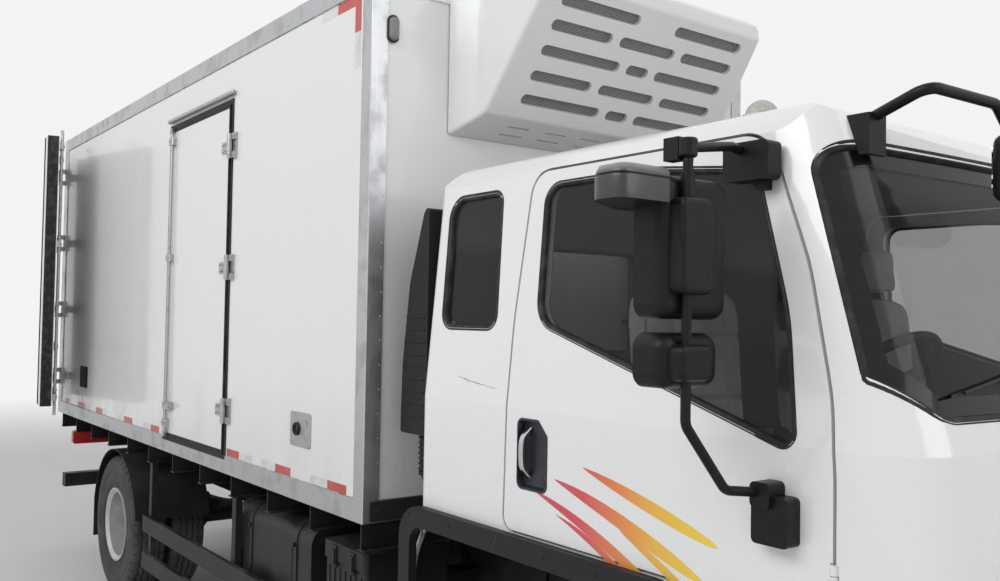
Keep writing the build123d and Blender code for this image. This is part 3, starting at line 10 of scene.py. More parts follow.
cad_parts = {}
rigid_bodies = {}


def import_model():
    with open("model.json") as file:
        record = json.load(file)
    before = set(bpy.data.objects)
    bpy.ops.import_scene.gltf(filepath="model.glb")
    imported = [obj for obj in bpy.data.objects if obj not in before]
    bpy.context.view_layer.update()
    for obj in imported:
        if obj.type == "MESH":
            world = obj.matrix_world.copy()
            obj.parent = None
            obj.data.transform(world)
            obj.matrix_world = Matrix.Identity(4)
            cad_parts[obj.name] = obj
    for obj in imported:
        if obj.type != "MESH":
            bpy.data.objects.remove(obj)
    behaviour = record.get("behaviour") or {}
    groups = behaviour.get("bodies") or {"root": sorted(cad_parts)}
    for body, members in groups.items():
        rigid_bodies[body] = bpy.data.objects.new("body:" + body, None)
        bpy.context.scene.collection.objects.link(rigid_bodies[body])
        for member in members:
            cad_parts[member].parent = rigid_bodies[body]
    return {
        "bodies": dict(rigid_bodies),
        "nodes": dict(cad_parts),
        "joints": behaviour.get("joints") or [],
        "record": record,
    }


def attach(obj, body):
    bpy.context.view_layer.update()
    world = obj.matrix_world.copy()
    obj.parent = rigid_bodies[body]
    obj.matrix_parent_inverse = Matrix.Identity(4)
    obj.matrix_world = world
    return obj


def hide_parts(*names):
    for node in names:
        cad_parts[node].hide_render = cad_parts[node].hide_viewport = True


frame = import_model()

bpy.context.scene.view_settings.view_transform = "Standard"
nodes = frame["nodes"]
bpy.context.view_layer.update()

# places that several pieces share, in metres, the same as in the part's source
boxFront = 1.36
boxSide = 1.15
wallFace = 1.144
frontAxle = Vector((2.49, 0, 0.47))
rearAxle = Vector((-2.23, 0, 0.47))
bothSides = (1, -1)                  # left, right
sideName = {1: "left", -1: "right"}
sideTitle = {1: "Left", -1: "Right"}
ahead = (1, 0, 0)
behind = (-1, 0, 0)
skyward = (0, 0, 1)
toRight = (0, -1, 0)


# Camera

cameraLook = {
    "place": (4.70, -3.01, 1.94),
    "lens": 34.2,                    # on a sensor 36 mm wide
    "turn": 37.1,                    # from straight back along the truck towards its left
    "rise": 1.76,
    "roll": 0.96,
}


def makeCamera(look):
    turn = math.radians(look["turn"])
    rise = math.radians(look["rise"])
    roll = math.radians(look["roll"])
    aim = Vector((-math.cos(rise) * math.cos(turn), math.cos(rise) * math.sin(turn), math.sin(rise)))
    right = aim.cross(Vector(skyward)).normalized()
    up = right.cross(aim)
    rolledRight = math.cos(roll) * right + math.sin(roll) * up
    rolledUp = math.cos(roll) * up - math.sin(roll) * right
    camera = bpy.data.objects.new("camera", bpy.data.cameras.new("camera"))
    bpy.context.scene.collection.objects.link(camera)
    camera.data.sensor_width = 36
    camera.data.lens = look["lens"]
    camera.data.clip_end = 200
    turned = Matrix((rolledRight, rolledUp, -aim)).transposed().to_4x4()
    camera.matrix_world = Matrix.Translation(look["place"]) @ turned
    bpy.context.scene.camera = camera


makeCamera(cameraLook)
print("camera in place")


# Shader helpers: a wire is one socket, so that finishes read as plain arithmetic

class Wire:
    def __init__(self, finish, socket):
        self.finish = finish
        self.socket = socket

    def maths(self, operation, *terms):
        return self.finish.node("ShaderNodeMath", {"operation": operation}, dict(enumerate(terms)))

    def __add__(self, other):
        return self.maths("ADD", self, other)

    def __radd__(self, other):
        return self.maths("ADD", other, self)

    def __sub__(self, other):
        return self.maths("SUBTRACT", self, other)

    def __rsub__(self, other):
        return self.maths("SUBTRACT", other, self)

    def __mul__(self, other):
        return self.maths("MULTIPLY", self, other)

    def __truediv__(self, other):
        return self.maths("DIVIDE", self, other)

    def __pow__(self, other):
        return self.maths("POWER", self, other)

    def __abs__(self):
        return self.maths("ABSOLUTE", self)

    def sine(self):
        return self.maths("SINE", self)


class Finish:
    def __init__(self, name, **fixed):
        self.material = bpy.data.materials.new(name)
        self.material.use_nodes = True
        self.tree = self.material.node_tree
        self.tree.nodes.clear()
        self.output = self.tree.nodes.new("ShaderNodeOutputMaterial")
        self.shader = self.tree.nodes.new("ShaderNodeBsdfPrincipled")
        self.tree.links.new(self.shader.outputs[0], self.output.inputs[0])
        self.place = self.node("ShaderNodeTexCoord", {}, {}, "Object")
        self.set(**fixed)

    def fill(self, socket, value):
        if isinstance(value, Wire):
            self.tree.links.new(value.socket, socket)
        else:
            socket.default_value = value

    def node(self, kind, settings, sockets, output=0):
        made = self.tree.nodes.new(kind)
        for name, value in settings.items():
            if name == "stops":
                while len(made.color_ramp.elements) < len(value):
                    made.color_ramp.elements.new(1.0)
                for element, (position, colour) in zip(made.color_ramp.elements, value):
                    element.position = position
                    element.color = colour
            else:
                setattr(made, name, value)
        for name, value in sockets.items():
            self.fill(made.inputs[name], value)
        return Wire(self, made.outputs[output])

    def set(self, **values):
        for name, value in values.items():
            self.fill(self.shader.inputs[name.replace("_", " ")], value)
        return self

    def axes(self, source=None):
        split = self.node("ShaderNodeSeparateXYZ", {}, {0: source or self.place})
        return [Wire(self, socket) for socket in split.socket.node.outputs]

    def facingUp(self):
        return self.axes(self.node("ShaderNodeTexCoord", {}, {}, "Normal"))[2]

    def noise(self, scale, detail=2.0, stretch=None):
        place = self.place
        if stretch:
            place = self.node("ShaderNodeVectorMath", {"operation": "MULTIPLY"}, {0: place, 1: stretch})
        return self.node("ShaderNodeTexNoise", {}, {"Vector": place, "Scale": scale, "Detail": detail})

    def step(self, value, low, high):
        return self.node("ShaderNodeMapRange", {"interpolation_type": "SMOOTHSTEP"},
                         {0: value, 1: low, 2: high, 3: 0.0, 4: 1.0})

    def mix(self, factor, first, second):
        return self.node("ShaderNodeMix", {"data_type": "RGBA"}, {0: factor, 6: first, 7: second}, 2)

    def bump(self, height, depth):
        return self.node("ShaderNodeBump", {}, {"Height": height, "Distance": depth})


def shade(red, green, blue):
    return (red, green, blue, 1.0)


def plainFinish(name, cloud, colours, spread, rough, grain=None, depth=0, **fixed):
    # two colours in clouds: spread is their share, or where the second one starts and is full
    finish = Finish(name, **fixed)
    broad = finish.noise(*cloud)
    fine = finish.noise(*grain) if grain else broad
    share = finish.step(broad, *spread) if isinstance(spread, tuple) else broad * spread
    finish.set(Base_Color=finish.mix(share, *colours), Roughness=rough[0] + fine * rough[1])
    if depth:
        finish.set(Normal=finish.bump(fine, depth))
    return finish


# Finishes of the truck's own surfaces

whiteLook = {
    "panel": shade(0.70, 0.715, 0.71),
    "cab": shade(0.74, 0.755, 0.76),
    "dust": shade(0.46, 0.43, 0.38),
    "wave": 0.004,                   # how far the glossy panels are from flat
}


def whitePanelFinish():
    finish = Finish("whitePanel", Coat_Roughness=0.06)
    streaks = finish.noise(1.0, 3.0, (7.0, 7.0, 0.35))
    blotches = finish.noise(1.7, 4.0)
    low = finish.step(finish.axes()[2], 1.75, 1.12)
    dust = (low * 0.30 + 0.03) * finish.step(streaks * 0.6 + blotches * 0.4, 0.35, 0.75)
    finish.set(Base_Color=finish.mix(dust, whiteLook["panel"], whiteLook["dust"]))
    finish.set(Roughness=0.16 + blotches * 0.10 + dust * 0.8, Coat_Weight=0.35 - dust * 0.3)
    return finish.set(Normal=finish.bump(finish.noise(2.6, 1.0), whiteLook["wave"]))


def cabPaintFinish():
    finish = Finish("cabPaint", Coat_Roughness=0.03)
    blotches = finish.noise(2.4, 4.0)
    fine = finish.noise(38.0, 3.0)
    low = finish.step(finish.axes()[2], 1.45, 0.80)
    dust = (low * 0.38 + 0.02) * finish.step(blotches * 0.7 + fine * 0.3, 0.36, 0.70)
    finish.set(Base_Color=finish.mix(dust, whiteLook["cab"], whiteLook["dust"]))
    finish.set(Roughness=0.22 + fine * 0.06 + dust * 0.9, Coat_Weight=0.85 - dust * 0.8)
    return finish.set(Normal=finish.bump(finish.noise(260.0, 2.0), 0.00012))


metalLook = {
    "aluminium": (shade(0.50, 0.515, 0.53), shade(0.40, 0.41, 0.41)),      # clean, stained
    "stainless": (shade(0.46, 0.46, 0.455), shade(0.30, 0.28, 0.25)),
    "silver": (shade(0.52, 0.53, 0.535), shade(0.20, 0.175, 0.15)),
    "iron": (shade(0.10, 0.10, 0.10), shade(0.17, 0.12, 0.08)),
    "nuts": (shade(0.34, 0.34, 0.335), shade(0.20, 0.11, 0.06)),
    "chrome": (shade(0.62, 0.62, 0.62), shade(0.48, 0.47, 0.46)),
    "mirror": (shade(0.82, 0.83, 0.83), shade(0.62, 0.62, 0.61)),
}


def aluminiumFinish():
    finish = Finish("aluminium", Metallic=1.0)
    upright = finish.step(finish.axes()[0], boxFront - 0.082, boxFront - 0.08)
    along = finish.noise(1.0, 4.0, (1.5, 160.0, 160.0))      # drawn along the rails
    down = finish.noise(1.0, 4.0, (160.0, 160.0, 1.5))       # and along the corner posts
    grain = along * (1 - upright) + down * upright
    stain = finish.noise(9.0, 5.0)
    finish.set(Base_Color=finish.mix(finish.step(stain, 0.45, 0.72), *metalLook["aluminium"]))
    finish.set(Roughness=0.30 + grain * 0.16 + finish.step(stain, 0.4, 0.7) * 0.14)
    return finish.set(Normal=finish.bump(grain, 0.0004))


def stainlessFinish():
    finish = Finish("stainless", Metallic=1.0)
    grain = finish.noise(1.0, 4.0, (18.0, 18.0, 420.0))
    stain = finish.noise(30.0, 4.0)
    finish.set(Base_Color=finish.mix(finish.step(stain, 0.5, 0.75), *metalLook["stainless"]))
    return finish.set(Roughness=0.24 + grain * 0.14 + stain * 0.1, Normal=finish.bump(grain, 0.0003))


def wheelSilverFinish():
    finish = Finish("wheelSilver", Metallic=0.55)
    fine = finish.noise(90.0, 3.0)
    deep = finish.step(abs(finish.axes()[1]), 1.02, 0.80)    # brake dust gathers in the dish
    dirt = finish.step(finish.noise(14.0, 5.0) * 0.7 + fine * 0.3, 0.42, 0.70) * (0.25 + deep * 0.5)
    finish.set(Base_Color=finish.mix(dirt, *metalLook["silver"]))
    return finish.set(Roughness=0.34 + dirt * 0.5, Normal=finish.bump(fine, 0.0003))


def mirrorGlassFinish():
    finish = Finish("mirrorGlass", Metallic=1.0)
    film = finish.noise(20.0, 4.0)
    finish.set(Base_Color=finish.mix(film * 0.15, *metalLook["mirror"]))
    return finish.set(Roughness=0.015 + finish.step(film, 0.5, 0.8) * 0.06)


blackLook = {
    "chassis": shade(0.014, 0.014, 0.015),
    "plastic": shade(0.015, 0.015, 0.017),
    "mirror": shade(0.008, 0.008, 0.009),
    "rubber": shade(0.020, 0.020, 0.021),
    "tyre": (shade(0.024, 0.024, 0.024), shade(0.13, 0.12, 0.105)),
    "seal": (shade(0.012, 0.012, 0.013), shade(0.05, 0.048, 0.045)),
    "handle": (shade(0.008, 0.010, 0.018), shade(0.026, 0.030, 0.042)),
    "print": (shade(0.006, 0.006, 0.007), shade(0.016, 0.016, 0.017)),
    # the shell's second colour, on its top, is a painted highlight over the dark sides
    "shell": (shade(0.018, 0.018, 0.019), shade(0.20, 0.20, 0.195)),       # sides, top
    "dust": shade(0.10, 0.092, 0.08),
}


def dustyBlackFinish(name, colour, gloss, grain, depth, dustiness):
    # satin black with dust that lies on what faces up and gathers low down
    finish = Finish(name, Specular_IOR_Level=0.20)
    cloud = finish.step(finish.noise(5.0, 5.0), 0.35, 0.7)
    grit = finish.noise(grain, 3.0)
    lying = finish.step(finish.facingUp(), 0.2, 0.95)
    dust = (lying * 0.34 + finish.step(finish.axes()[2], 1.2, 0.3) * 0.26 + 0.05) * cloud * dustiness
    finish.set(Base_Color=finish.mix(dust, blackLook[colour], blackLook["dust"]))
    return finish.set(Roughness=gloss + grit * 0.12 + dust * 0.4, Normal=finish.bump(grit, depth))


def tyreFinish():
    finish = Finish("tyreRubber")
    grit = finish.noise(190.0, 3.0)
    dust = finish.step(finish.noise(6.0, 5.0) * 0.75 + grit * 0.25, 0.38, 0.68) * 0.42
    finish.set(Base_Color=finish.mix(dust, *blackLook["tyre"]))
    return finish.set(Roughness=0.66 + grit * 0.15 + dust * 0.3, Normal=finish.bump(grit, 0.0006))


def sealRubberFinish():
    finish = plainFinish("sealRubber", (24.0, 4.0), blackLook["seal"], (0.4, 0.75), (0.50, 0.2),
                         Specular_IOR_Level=0.25)
    return finish.set(Normal=finish.bump(finish.noise(300.0), 0.0002))


def shellPaintedTopFinish():
    finish = Finish("shellPaintedTop", Coat_Weight=0.4, Coat_Roughness=0.10)
    dusty = finish.noise(16.0, 5.0)
    # what faces up gets the lighter colour: a painted highlight on the shell's top, the sides dark
    finish.set(Base_Color=finish.mix(finish.step(finish.facingUp(), 0.1, 0.8), *blackLook["shell"]))
    return finish.set(Roughness=0.26 + dusty * 0.2, Normal=finish.bump(dusty, 0.0003))


glassLook = {
    "tint": shade(0.010, 0.013, 0.014),
    "clear": 0.72,                   # how much the panes let through at a glance
    "ribs": 520.0,                   # across a lens, in radians a metre
}


def windowFinish():
    finish = Finish("windowGlass", IOR=1.5, Base_Color=glassLook["tint"])
    film = finish.noise(11.0, 5.0)
    finish.set(Alpha=1 - glassLook["clear"] + film * 0.04)
    return finish.set(Roughness=0.02 + finish.step(film, 0.5, 0.8) * 0.05)


def lensFinish(name, colour, clear):
    finish = Finish(name, IOR=1.5, Base_Color=colour)
    ribs = (finish.axes()[1] * glassLook["ribs"]).sine()
    finish.set(Alpha=1 - clear + finish.noise(40.0) * 0.05, Roughness=0.08 + finish.noise(60.0) * 0.05)
    return finish.set(Normal=finish.bump(ribs, 0.0005))


# the hole colour is painted shade: the dark seen through the holes
meshLook = {"pitch": 0.0105, "wire": shade(0.50, 0.505, 0.50), "hole": shade(0.08, 0.081, 0.082)}


def ventMeshFinish():
    # rows of staggered holes in thin sheet, the holes painted dark as painted shade, standing in for the
    # black backing and the shade seen through them
    finish = Finish("ventMesh", Metallic=0.6)
    x, y, z = finish.axes()
    turn = 2 * math.pi / meshLook["pitch"]
    holes = (y * turn).sine() * (z * turn * 1.07).sine()
    hole = 1 - finish.step(abs(holes), 0.30, 0.62)
    finish.set(Base_Color=finish.mix(hole, meshLook["wire"], meshLook["hole"]))
    return finish.set(Roughness=0.5 + finish.noise(18.0, 4.0) * 0.2, Normal=finish.bump(hole, 0.002))


clothLook = {"colours": (shade(0.62, 0.60, 0.55), shade(0.46, 0.43, 0.38)), "thread": 0.0016}


def seatCoverFinish():
    finish = Finish("seatCover", Sheen_Weight=0.25, Sheen_Roughness=0.4)
    x, y, z = finish.axes()
    turn = 2 * math.pi / clothLook["thread"]
    weave = (y * turn).sine() * ((z + x) * turn).sine()
    creases = finish.noise(1.0, 3.0, (26.0, 26.0, 7.0))
    finish.set(Base_Color=finish.mix(finish.step(finish.noise(8.0, 4.0), 0.35, 0.75), *clothLook["colours"]))
    return finish.set(Roughness=0.78 + weave * 0.05, Normal=finish.bump(weave * 0.06 + creases, 0.006))


tapeLook = {
    "span": (1.213, 1.251),          # lowest and highest point of the patches along the sides
    "thick": 0.0006,
    "cell": 0.0032,
    "grime": shade(0.28, 0.25, 0.22),
    # colour, colour of its cells, patches along x, patches up the front edge (x, z)
    "red": (shade(0.52, 0.022, 0.020), shade(0.30, 0.10, 0.09),
            [(1.045, 1.214), (0.514, 0.680), (-0.09, 0.075), (-1.36, -1.195), (-1.94, -1.75),
             (-2.654, -2.48), (-3.18, -2.96), (-3.60, -3.45)],
            [((1.206, 1.258), (3.12, 3.2795)), ((1.05, 1.206), (3.232, 3.2795))]),
    "white": (shade(0.70, 0.70, 0.68), shade(0.5, 0.5, 0.5),
              [(0.88, 1.045), (0.35, 0.514), (0.075, 0.24), (-1.54, -1.375), (-2.10, -1.94),
               (-2.48, -2.37), (-2.96, -2.80)],
              [((1.206, 1.258), (2.97, 3.12)), ((0.90, 1.05), (3.232, 3.2795))]),
}


def tapeFinish(name, colour, cellColour):
    # sealed cells of the reflecting film, with grime in its edges
    finish = Finish(name, Coat_Weight=0.4, Coat_Roughness=0.12)
    x, y, z = finish.axes()
    turn = 2 * math.pi / tapeLook["cell"]
    first = (x * turn + z * turn * 0.577).sine()
    second = (x * turn - z * turn * 0.577).sine()
    third = (z * turn * 1.154).sine()
    cells = finish.step(first * second * third, -0.1, 0.25)
    grime = finish.step(finish.noise(14.0, 5.0), 0.42, 0.75)
    dull = finish.mix(cells * 0.22, colour, cellColour)
    finish.set(Base_Color=finish.mix(grime * 0.35, dull, tapeLook["grime"]))
    return finish.set(Roughness=0.28 + grime * 0.3, Normal=finish.bump(cells, 0.0002))


chassisPaint = dustyBlackFinish("chassisPaint", "chassis", 0.38, 60.0, 0.0004, 1.0)
tankBlack = dustyBlackFinish("tankBlack", "chassis", 0.30, 45.0, 0.0003, 0.8)
blackPlastic = dustyBlackFinish("blackPlastic", "plastic", 0.42, 420.0, 0.0005, 0.45)
mirrorPlastic = dustyBlackFinish("mirrorPlastic", "mirror", 0.30, 520.0, 0.0004, 0.35)
blackRubber = dustyBlackFinish("blackRubber", "rubber", 0.55, 240.0, 0.0004, 0.30)
wiperBlack = dustyBlackFinish("wiperBlack", "plastic", 0.35, 300.0, 0.0002, 0.5)
aluminium = aluminiumFinish()
stainless = stainlessFinish()
tyreRubber = tyreFinish()
redLens = lensFinish("redLens", shade(0.42, 0.012, 0.010), 0.1)
clearLens = lensFinish("clearLens", shade(0.70, 0.71, 0.70), 0.72)
amberLens = lensFinish("amberLens", shade(0.72, 0.24, 0.012), 0.15)
whiteLens = lensFinish("lampWhite", shade(0.66, 0.66, 0.64), 0.15)
beaconLens = lensFinish("beaconClear", shade(0.52, 0.50, 0.45), 0.35)
seatCover = seatCoverFinish()
shellPaintedTop = shellPaintedTopFinish()
sealRubber = sealRubberFinish()
mirrorGlass = mirrorGlassFinish()
nutSteel = plainFinish("nutSteel", (60.0, 4.0), metalLook["nuts"], (0.42, 0.66), (0.38, 0.3), None, 0.0004,
                       Metallic=0.85)
sealantGrey = plainFinish("sealantGrey", (30.0, 4.0), (shade(0.42, 0.42, 0.40), shade(0.16, 0.155, 0.14)),
                          (0.35, 0.7), (0.5, 0.2), None, 0.0005)
printBlack = plainFinish("fritBlack", (12.0, 4.0), blackLook["print"], 0.3, (0.12, 0.08),
                         Specular_IOR_Level=0.3)
handleBlack = plainFinish("handleBlack", (20.0, 4.0), blackLook["handle"], 0.5, (0.30, 0.12), (420.0, 2.0),
                          0.0003)
chrome = plainFinish("satinChrome", (36.0, 4.0), metalLook["chrome"], 0.4, (0.16, 0.16), Metallic=1.0)
scratched = plainFinish("scratchedPaint", (160.0, 4.0), (shade(0.10, 0.095, 0.09), shade(0.40, 0.39, 0.37)),
                        (0.4, 0.6), (0.6, 0.2))
seatPiping = plainFinish("seatPiping", (700.0, 2.0), (shade(0.20, 0.19, 0.175), shade(0.32, 0.30, 0.27)),
                         0.4, (0.72, 0.1), None, 0.0003, Sheen_Weight=0.2)

finishOfSlot = {
    "chassis_paint": chassisPaint,
    "engine_grey": plainFinish("castIron", (7.0, 5.0), metalLook["iron"], (0.45, 0.7), (0.62, 0.2),
                               (120.0, 4.0), 0.0012, Metallic=0.4),
    "tank_black": tankBlack,
    "black_plastic": blackPlastic,
    "mirror_plastic": mirrorPlastic,
    "black_rubber": blackRubber,
    "red_lens": redLens,
    "clear_lens": clearLens,
    "white_panel": whitePanelFinish(),
    "cab_white": cabPaintFinish(),
    "aluminium": aluminium,
    "stainless": stainless,
    "grille_grey": ventMeshFinish(),
    "window_glass": windowFinish(),
    "seat_cover": seatCover,
    "tyre_rubber": tyreRubber,
    "wheel_silver": wheelSilverFinish(),
}

for subpart in frame["record"]["subparts"]:
    carried = nodes[subpart["node"]]
    carried.data.materials.clear()
    carried.data.materials.append(finishOfSlot[subpart["material_slot"]].material)
print("finishes on", len(nodes), "nodes")


# Floor, light and background

studioLook = {
    "floor": (shade(0.74, 0.74, 0.73), shade(0.68, 0.68, 0.67)),
    "floorHalf": 30,
    "background": 0.90,
    "skyForObject": 0.54,
    # place, target, size, watts
    "keyLamp": ((2.0, -8.5, 7.5), (0.2, 0, 1.6), (9.0, 4.0), 470),
    "fillLamp": ((9.5, 1.5, 5.5), (1.5, 0, 1.6), (5.0, 5.0), 150),
}


def makeFloor(look):
    half = look["floorHalf"]
    sheet = bpy.data.meshes.new("floor")
    corners = [(-half, -half, 0), (half, -half, 0), (half, half, 0), (-half, half, 0)]
    sheet.from_pydata(corners, [], [(0, 1, 2, 3)])
    floor = bpy.data.objects.new("floor", sheet)
    bpy.context.scene.collection.objects.link(floor)
    finish = Finish("floorPaint", Specular_IOR_Level=0.3)
    x, y, z = finish.axes()
    smooth = finish.noise(0.7, 3.0)
    away = finish.step((x * x + y * y) ** 0.5, 8.0, 20.0)
    finish.set(Base_Color=finish.mix(smooth * 0.25, *look["floor"]), Roughness=0.55 + smooth * 0.2)
    pale = look["background"]
    glow = finish.node("ShaderNodeEmission", {}, {0: shade(pale, pale, pale)})
    near = Wire(finish, finish.shader.outputs[0])
    blend = finish.node("ShaderNodeMixShader", {}, {0: away, 1: near, 2: glow})
    finish.tree.links.new(blend.socket, finish.output.inputs[0])
    sheet.materials.append(finish.material)


def makeWorld(look):
    # the background as the camera, mirrors and glass see it, and a dimmer sky that lights the truck
    world = bpy.data.worlds.new("studio")
    bpy.context.scene.world = world
    world.use_nodes = True
    tree = world.node_tree
    tree.nodes.clear()
    kinds = ("LightPath", "Math", "Math", "MapRange", "Background", "OutputWorld")
    path, seen, either, strength, sky, output = [tree.nodes.new("ShaderNode" + kind) for kind in kinds]
    for node in (seen, either):
        node.operation = "MAXIMUM"
    strength.inputs[3].default_value = look["skyForObject"]
    strength.inputs[4].default_value = look["background"]
    sky.inputs[0].default_value = shade(1.0, 1.0, 1.0)
    for source, target in ((path.outputs["Is Camera Ray"], seen.inputs[0]),
                           (path.outputs["Is Glossy Ray"], either.inputs[0]),
                           (path.outputs["Is Transmission Ray"], either.inputs[1]),
                           (either.outputs[0], seen.inputs[1]), (seen.outputs[0], strength.inputs[0]),
                           (strength.outputs[0], sky.inputs[1]), (sky.outputs[0], output.inputs[0])):
        tree.links.new(source, target)


def makeLamp(name, place, target, size, power):
    lamp = bpy.data.lights.new(name, "AREA")
    lamp.shape = "RECTANGLE"
    lamp.size, lamp.size_y = size
    lamp.energy = power
    holder = bpy.data.objects.new(name, lamp)
    bpy.context.scene.collection.objects.link(holder)
    holder.location = place
    holder.rotation_euler = (Vector(target) - Vector(place)).to_track_quat("-Z", "Y").to_euler()


makeFloor(studioLook)
makeWorld(studioLook)
for name in ("keyLamp", "fillLamp"):
    makeLamp(name, *studioLook[name])
print("floor, world and lamps")


# Outlines and places

def evenly(path, spacing, closed=False):
    # the same line with points at equal steps
    path = [Vector(point) for point in path]
    if closed:
        path = path + [path[0]]
    lengths = [0.0]
    for before, after in zip(path, path[1:]):
        lengths.append(lengths[-1] + (after - before).length)
    steps = max(3, round(lengths[-1] / spacing))
    result = []
    segment = 0
    for step in range(steps if closed else steps + 1):
        wanted = lengths[-1] * step / steps
        while segment < len(path) - 2 and lengths[segment + 1] < wanted:
            segment += 1
        span = lengths[segment + 1] - lengths[segment]
        share = (wanted - lengths[segment]) / span if span else 0
        result.append(path[segment].lerp(path[segment + 1], share))
    return result


def roundedOutline(corners, radii, steps=6):
    # a flat outline with an arc at each corner
    result = []
    count = len(corners)
    for number, corner in enumerate(corners):
        radius = radii[number] if isinstance(radii, list) else radii
        corner = Vector(corner)
        back = (Vector(corners[number - 1]) - corner).normalized()
        onward = (Vector(corners[(number + 1) % count]) - corner).normalized()
        if radius <= 0:
            result.append(tuple(corner))
            continue
        half = back.angle(onward) / 2
        reach = radius / math.tan(half)
        middle = corner + (back + onward).normalized() * (radius / math.sin(half))
        start = corner + back * reach - middle
        swing = start.angle_signed(corner + onward * reach - middle)
        for step in range(steps + 1):
            turned = start.copy()
            turned.rotate(Matrix.Rotation(-swing * step / steps, 2))
            result.append(tuple(middle + turned))
    return result


def grown(span, size):
    return (span[0] - size, span[1] + size)


def rectangle(x, y, radius, steps=5):
    return roundedOutline([(x[0], y[0]), (x[1], y[0]), (x[1], y[1]), (x[0], y[1])], radius, steps)


def scaled(outline, share, middle):
    return [(middle[0] + (a - middle[0]) * share, middle[1] + (b - middle[1]) * share) for a, b in outline]


def mirrored(side, low, high):
    return sorted((side * low, side * high))


def circle(count, radius, shift=0.0):
    turns = [2 * math.pi * (number + shift) / count for number in range(count)]
    return [(radius * math.cos(turn), radius * math.sin(turn)) for turn in turns]


def onX(level, way=1):
    # turns (across, up, out) into a point on a plane square to X
    return lambda across, up, out: Vector((level + way * out, across, up))


def onY(level, way=1):
    return lambda across, up, out: Vector((across, level + way * out, up))


# Mesh helper: gathers corner points and faces, then makes one object of them

class Shape:
    def __init__(self):
        self.points = []
        self.faces = []

    def add(self, points, faces):
        start = len(self.points)
        self.points.extend(Vector(point) for point in points)
        self.faces.extend(tuple(start + index for index in face) for face in faces)

    def grid(self, rows, closeRows=False, closeColumns=False, caps=""):
        # rows of equally many points, joined to one sheet
        count = len(rows[0])
        faces = []
        for row in range(len(rows) if closeRows else len(rows) - 1):
            following = (row + 1) % len(rows)
            for column in range(count if closeColumns else count - 1):
                beside = (column + 1) % count
                faces.append((row * count + column, row * count + beside,
                              following * count + beside, following * count + column))
        for end, row in (("first", 0), ("last", len(rows) - 1)):
            if end in caps:
                faces.append(tuple(range(row * count, (row + 1) * count)))
        self.add([point for row in rows for point in row], faces)

    def loft(self, rows, caps="last"):
        self.grid(rows, closeColumns=True, caps=caps)

    def block(self, x, y, z):
        self.add(list(product(x, y, z)),
                 [(0, 1, 3, 2), (4, 6, 7, 5), (0, 4, 5, 1), (2, 3, 7, 6), (0, 2, 6, 4), (1, 5, 7, 3)])

    def prism(self, outline, low, high, place):
        # place turns (across, up, out) into a point
        count = len(outline)
        points = [place(a, b, out) for out in (low, high) for a, b in outline]
        sides = [(n, (n + 1) % count, count + (n + 1) % count, count + n) for n in range(count)]
        self.add(points, sides + [tuple(reversed(range(count))), tuple(range(count, 2 * count))])

    def rim(self, x, y, inset, wide, radii, low, high, place):
        # a flat frame between two rounded rectangles
        outer, inner = [rectangle(grown(x, -inwards), grown(y, -inwards), radius)
                        for inwards, radius in ((inset, radii[0]), (inset + wide, radii[1]))]
        walk = ((outer, low), (outer, high), (inner, high), (inner, low), (outer, low))
        self.loft([[place(a, b, out) for a, b in outline] for outline, out in walk], "")

    def lathe(self, profile, centre, axis=skyward, steps=32, capped=True):
        # profile of (along the axis, radius)
        axis = Vector(axis).normalized()
        first = axis.orthogonal().normalized()
        second = axis.cross(first)
        rows = [[Vector(centre) + axis * along + first * a + second * b for a, b in circle(steps, radius)]
                for along, radius in profile]
        self.loft(rows, "first last" if capped else "")

    def pipe(self, path, radius, sides=10, closed=False):
        path = [Vector(point) for point in path]
        count = len(path)
        rows = []
        across = None
        for number, point in enumerate(path):
            before = path[number - 1] if number or closed else point
            after = path[(number + 1) % count] if number < count - 1 or closed else point
            along = (after - before).normalized()
            if across is None:
                across = along.orthogonal()
            across = (across - along * across.dot(along)).normalized()
            up = along.cross(across)
            wide = radius[number] if isinstance(radius, list) else radius
            rows.append([point + across * a + up * b for a, b in circle(sides, wide)])
        self.grid(rows, closed, True, "" if closed else "first last")

    def bolt(self, place, axis, radius, height):
        # hexagon head with its washer and a turned top edge
        rim = radius * 1.25
        self.lathe([(0, rim), (height * 0.16, rim), (height * 0.2, rim * 0.96)], place, axis, 16)
        self.lathe([(0, radius), (height * 0.86, radius), (height, radius * 0.84)], place, axis, 6)

    def rivet(self, place, axis, radius, height):
        self.lathe([(0, radius), (height * 0.6, radius * 0.86), (height, radius * 0.42)], place, axis, 8)

    def make(self, name, finish, body, slot, replaces=None, bevel=0, sharp=38):
        sheet = bpy.data.meshes.new(name)
        sheet.from_pydata([tuple(point) for point in self.points], [], self.faces)
        work = bmesh.new()
        work.from_mesh(sheet)
        bmesh.ops.recalc_face_normals(work, faces=work.faces)
        work.to_mesh(sheet)
        work.free()
        sheet.shade_smooth()
        sheet.set_sharp_from_angle(angle=math.radians(sharp))
        sheet.materials.append(finish.material)
        piece = linked(name, sheet, body, replaces)
        if bevel:
            rounding = piece.modifiers.new("edges", "BEVEL")
            rounding.width = bevel
            rounding.segments = 2
            rounding.limit_method = "ANGLE"
            rounding.harden_normals = True


def linked(name, mesh, body, replaces=None):
    piece = bpy.data.objects.new(name, mesh)
    bpy.context.scene.collection.objects.link(piece)
    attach(piece, body)
    if replaces:
        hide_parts(replaces)
    return piece


class Skin:
    # the surface of one or more carried nodes, to set pieces down on
    def __init__(self, *names):
        points = []
        faces = []
        for name in names:
            mesh = nodes[name].data
            start = len(points)
            points.extend(vertex.co.copy() for vertex in mesh.vertices)
            faces.extend(tuple(start + index for index in face.vertices) for face in mesh.polygons)
        self.tree = BVHTree.FromPolygons(points, faces)

    def hit(self, start, direction):
        place, normal = self.tree.ray_cast(Vector(start), Vector(direction))[:2]
        return (place, normal) if place else None

    def near(self, point):
        return self.tree.find_nearest(Vector(point))[0]


# Tyres: four zigzag grooves, notched shoulders, ribs on the walls

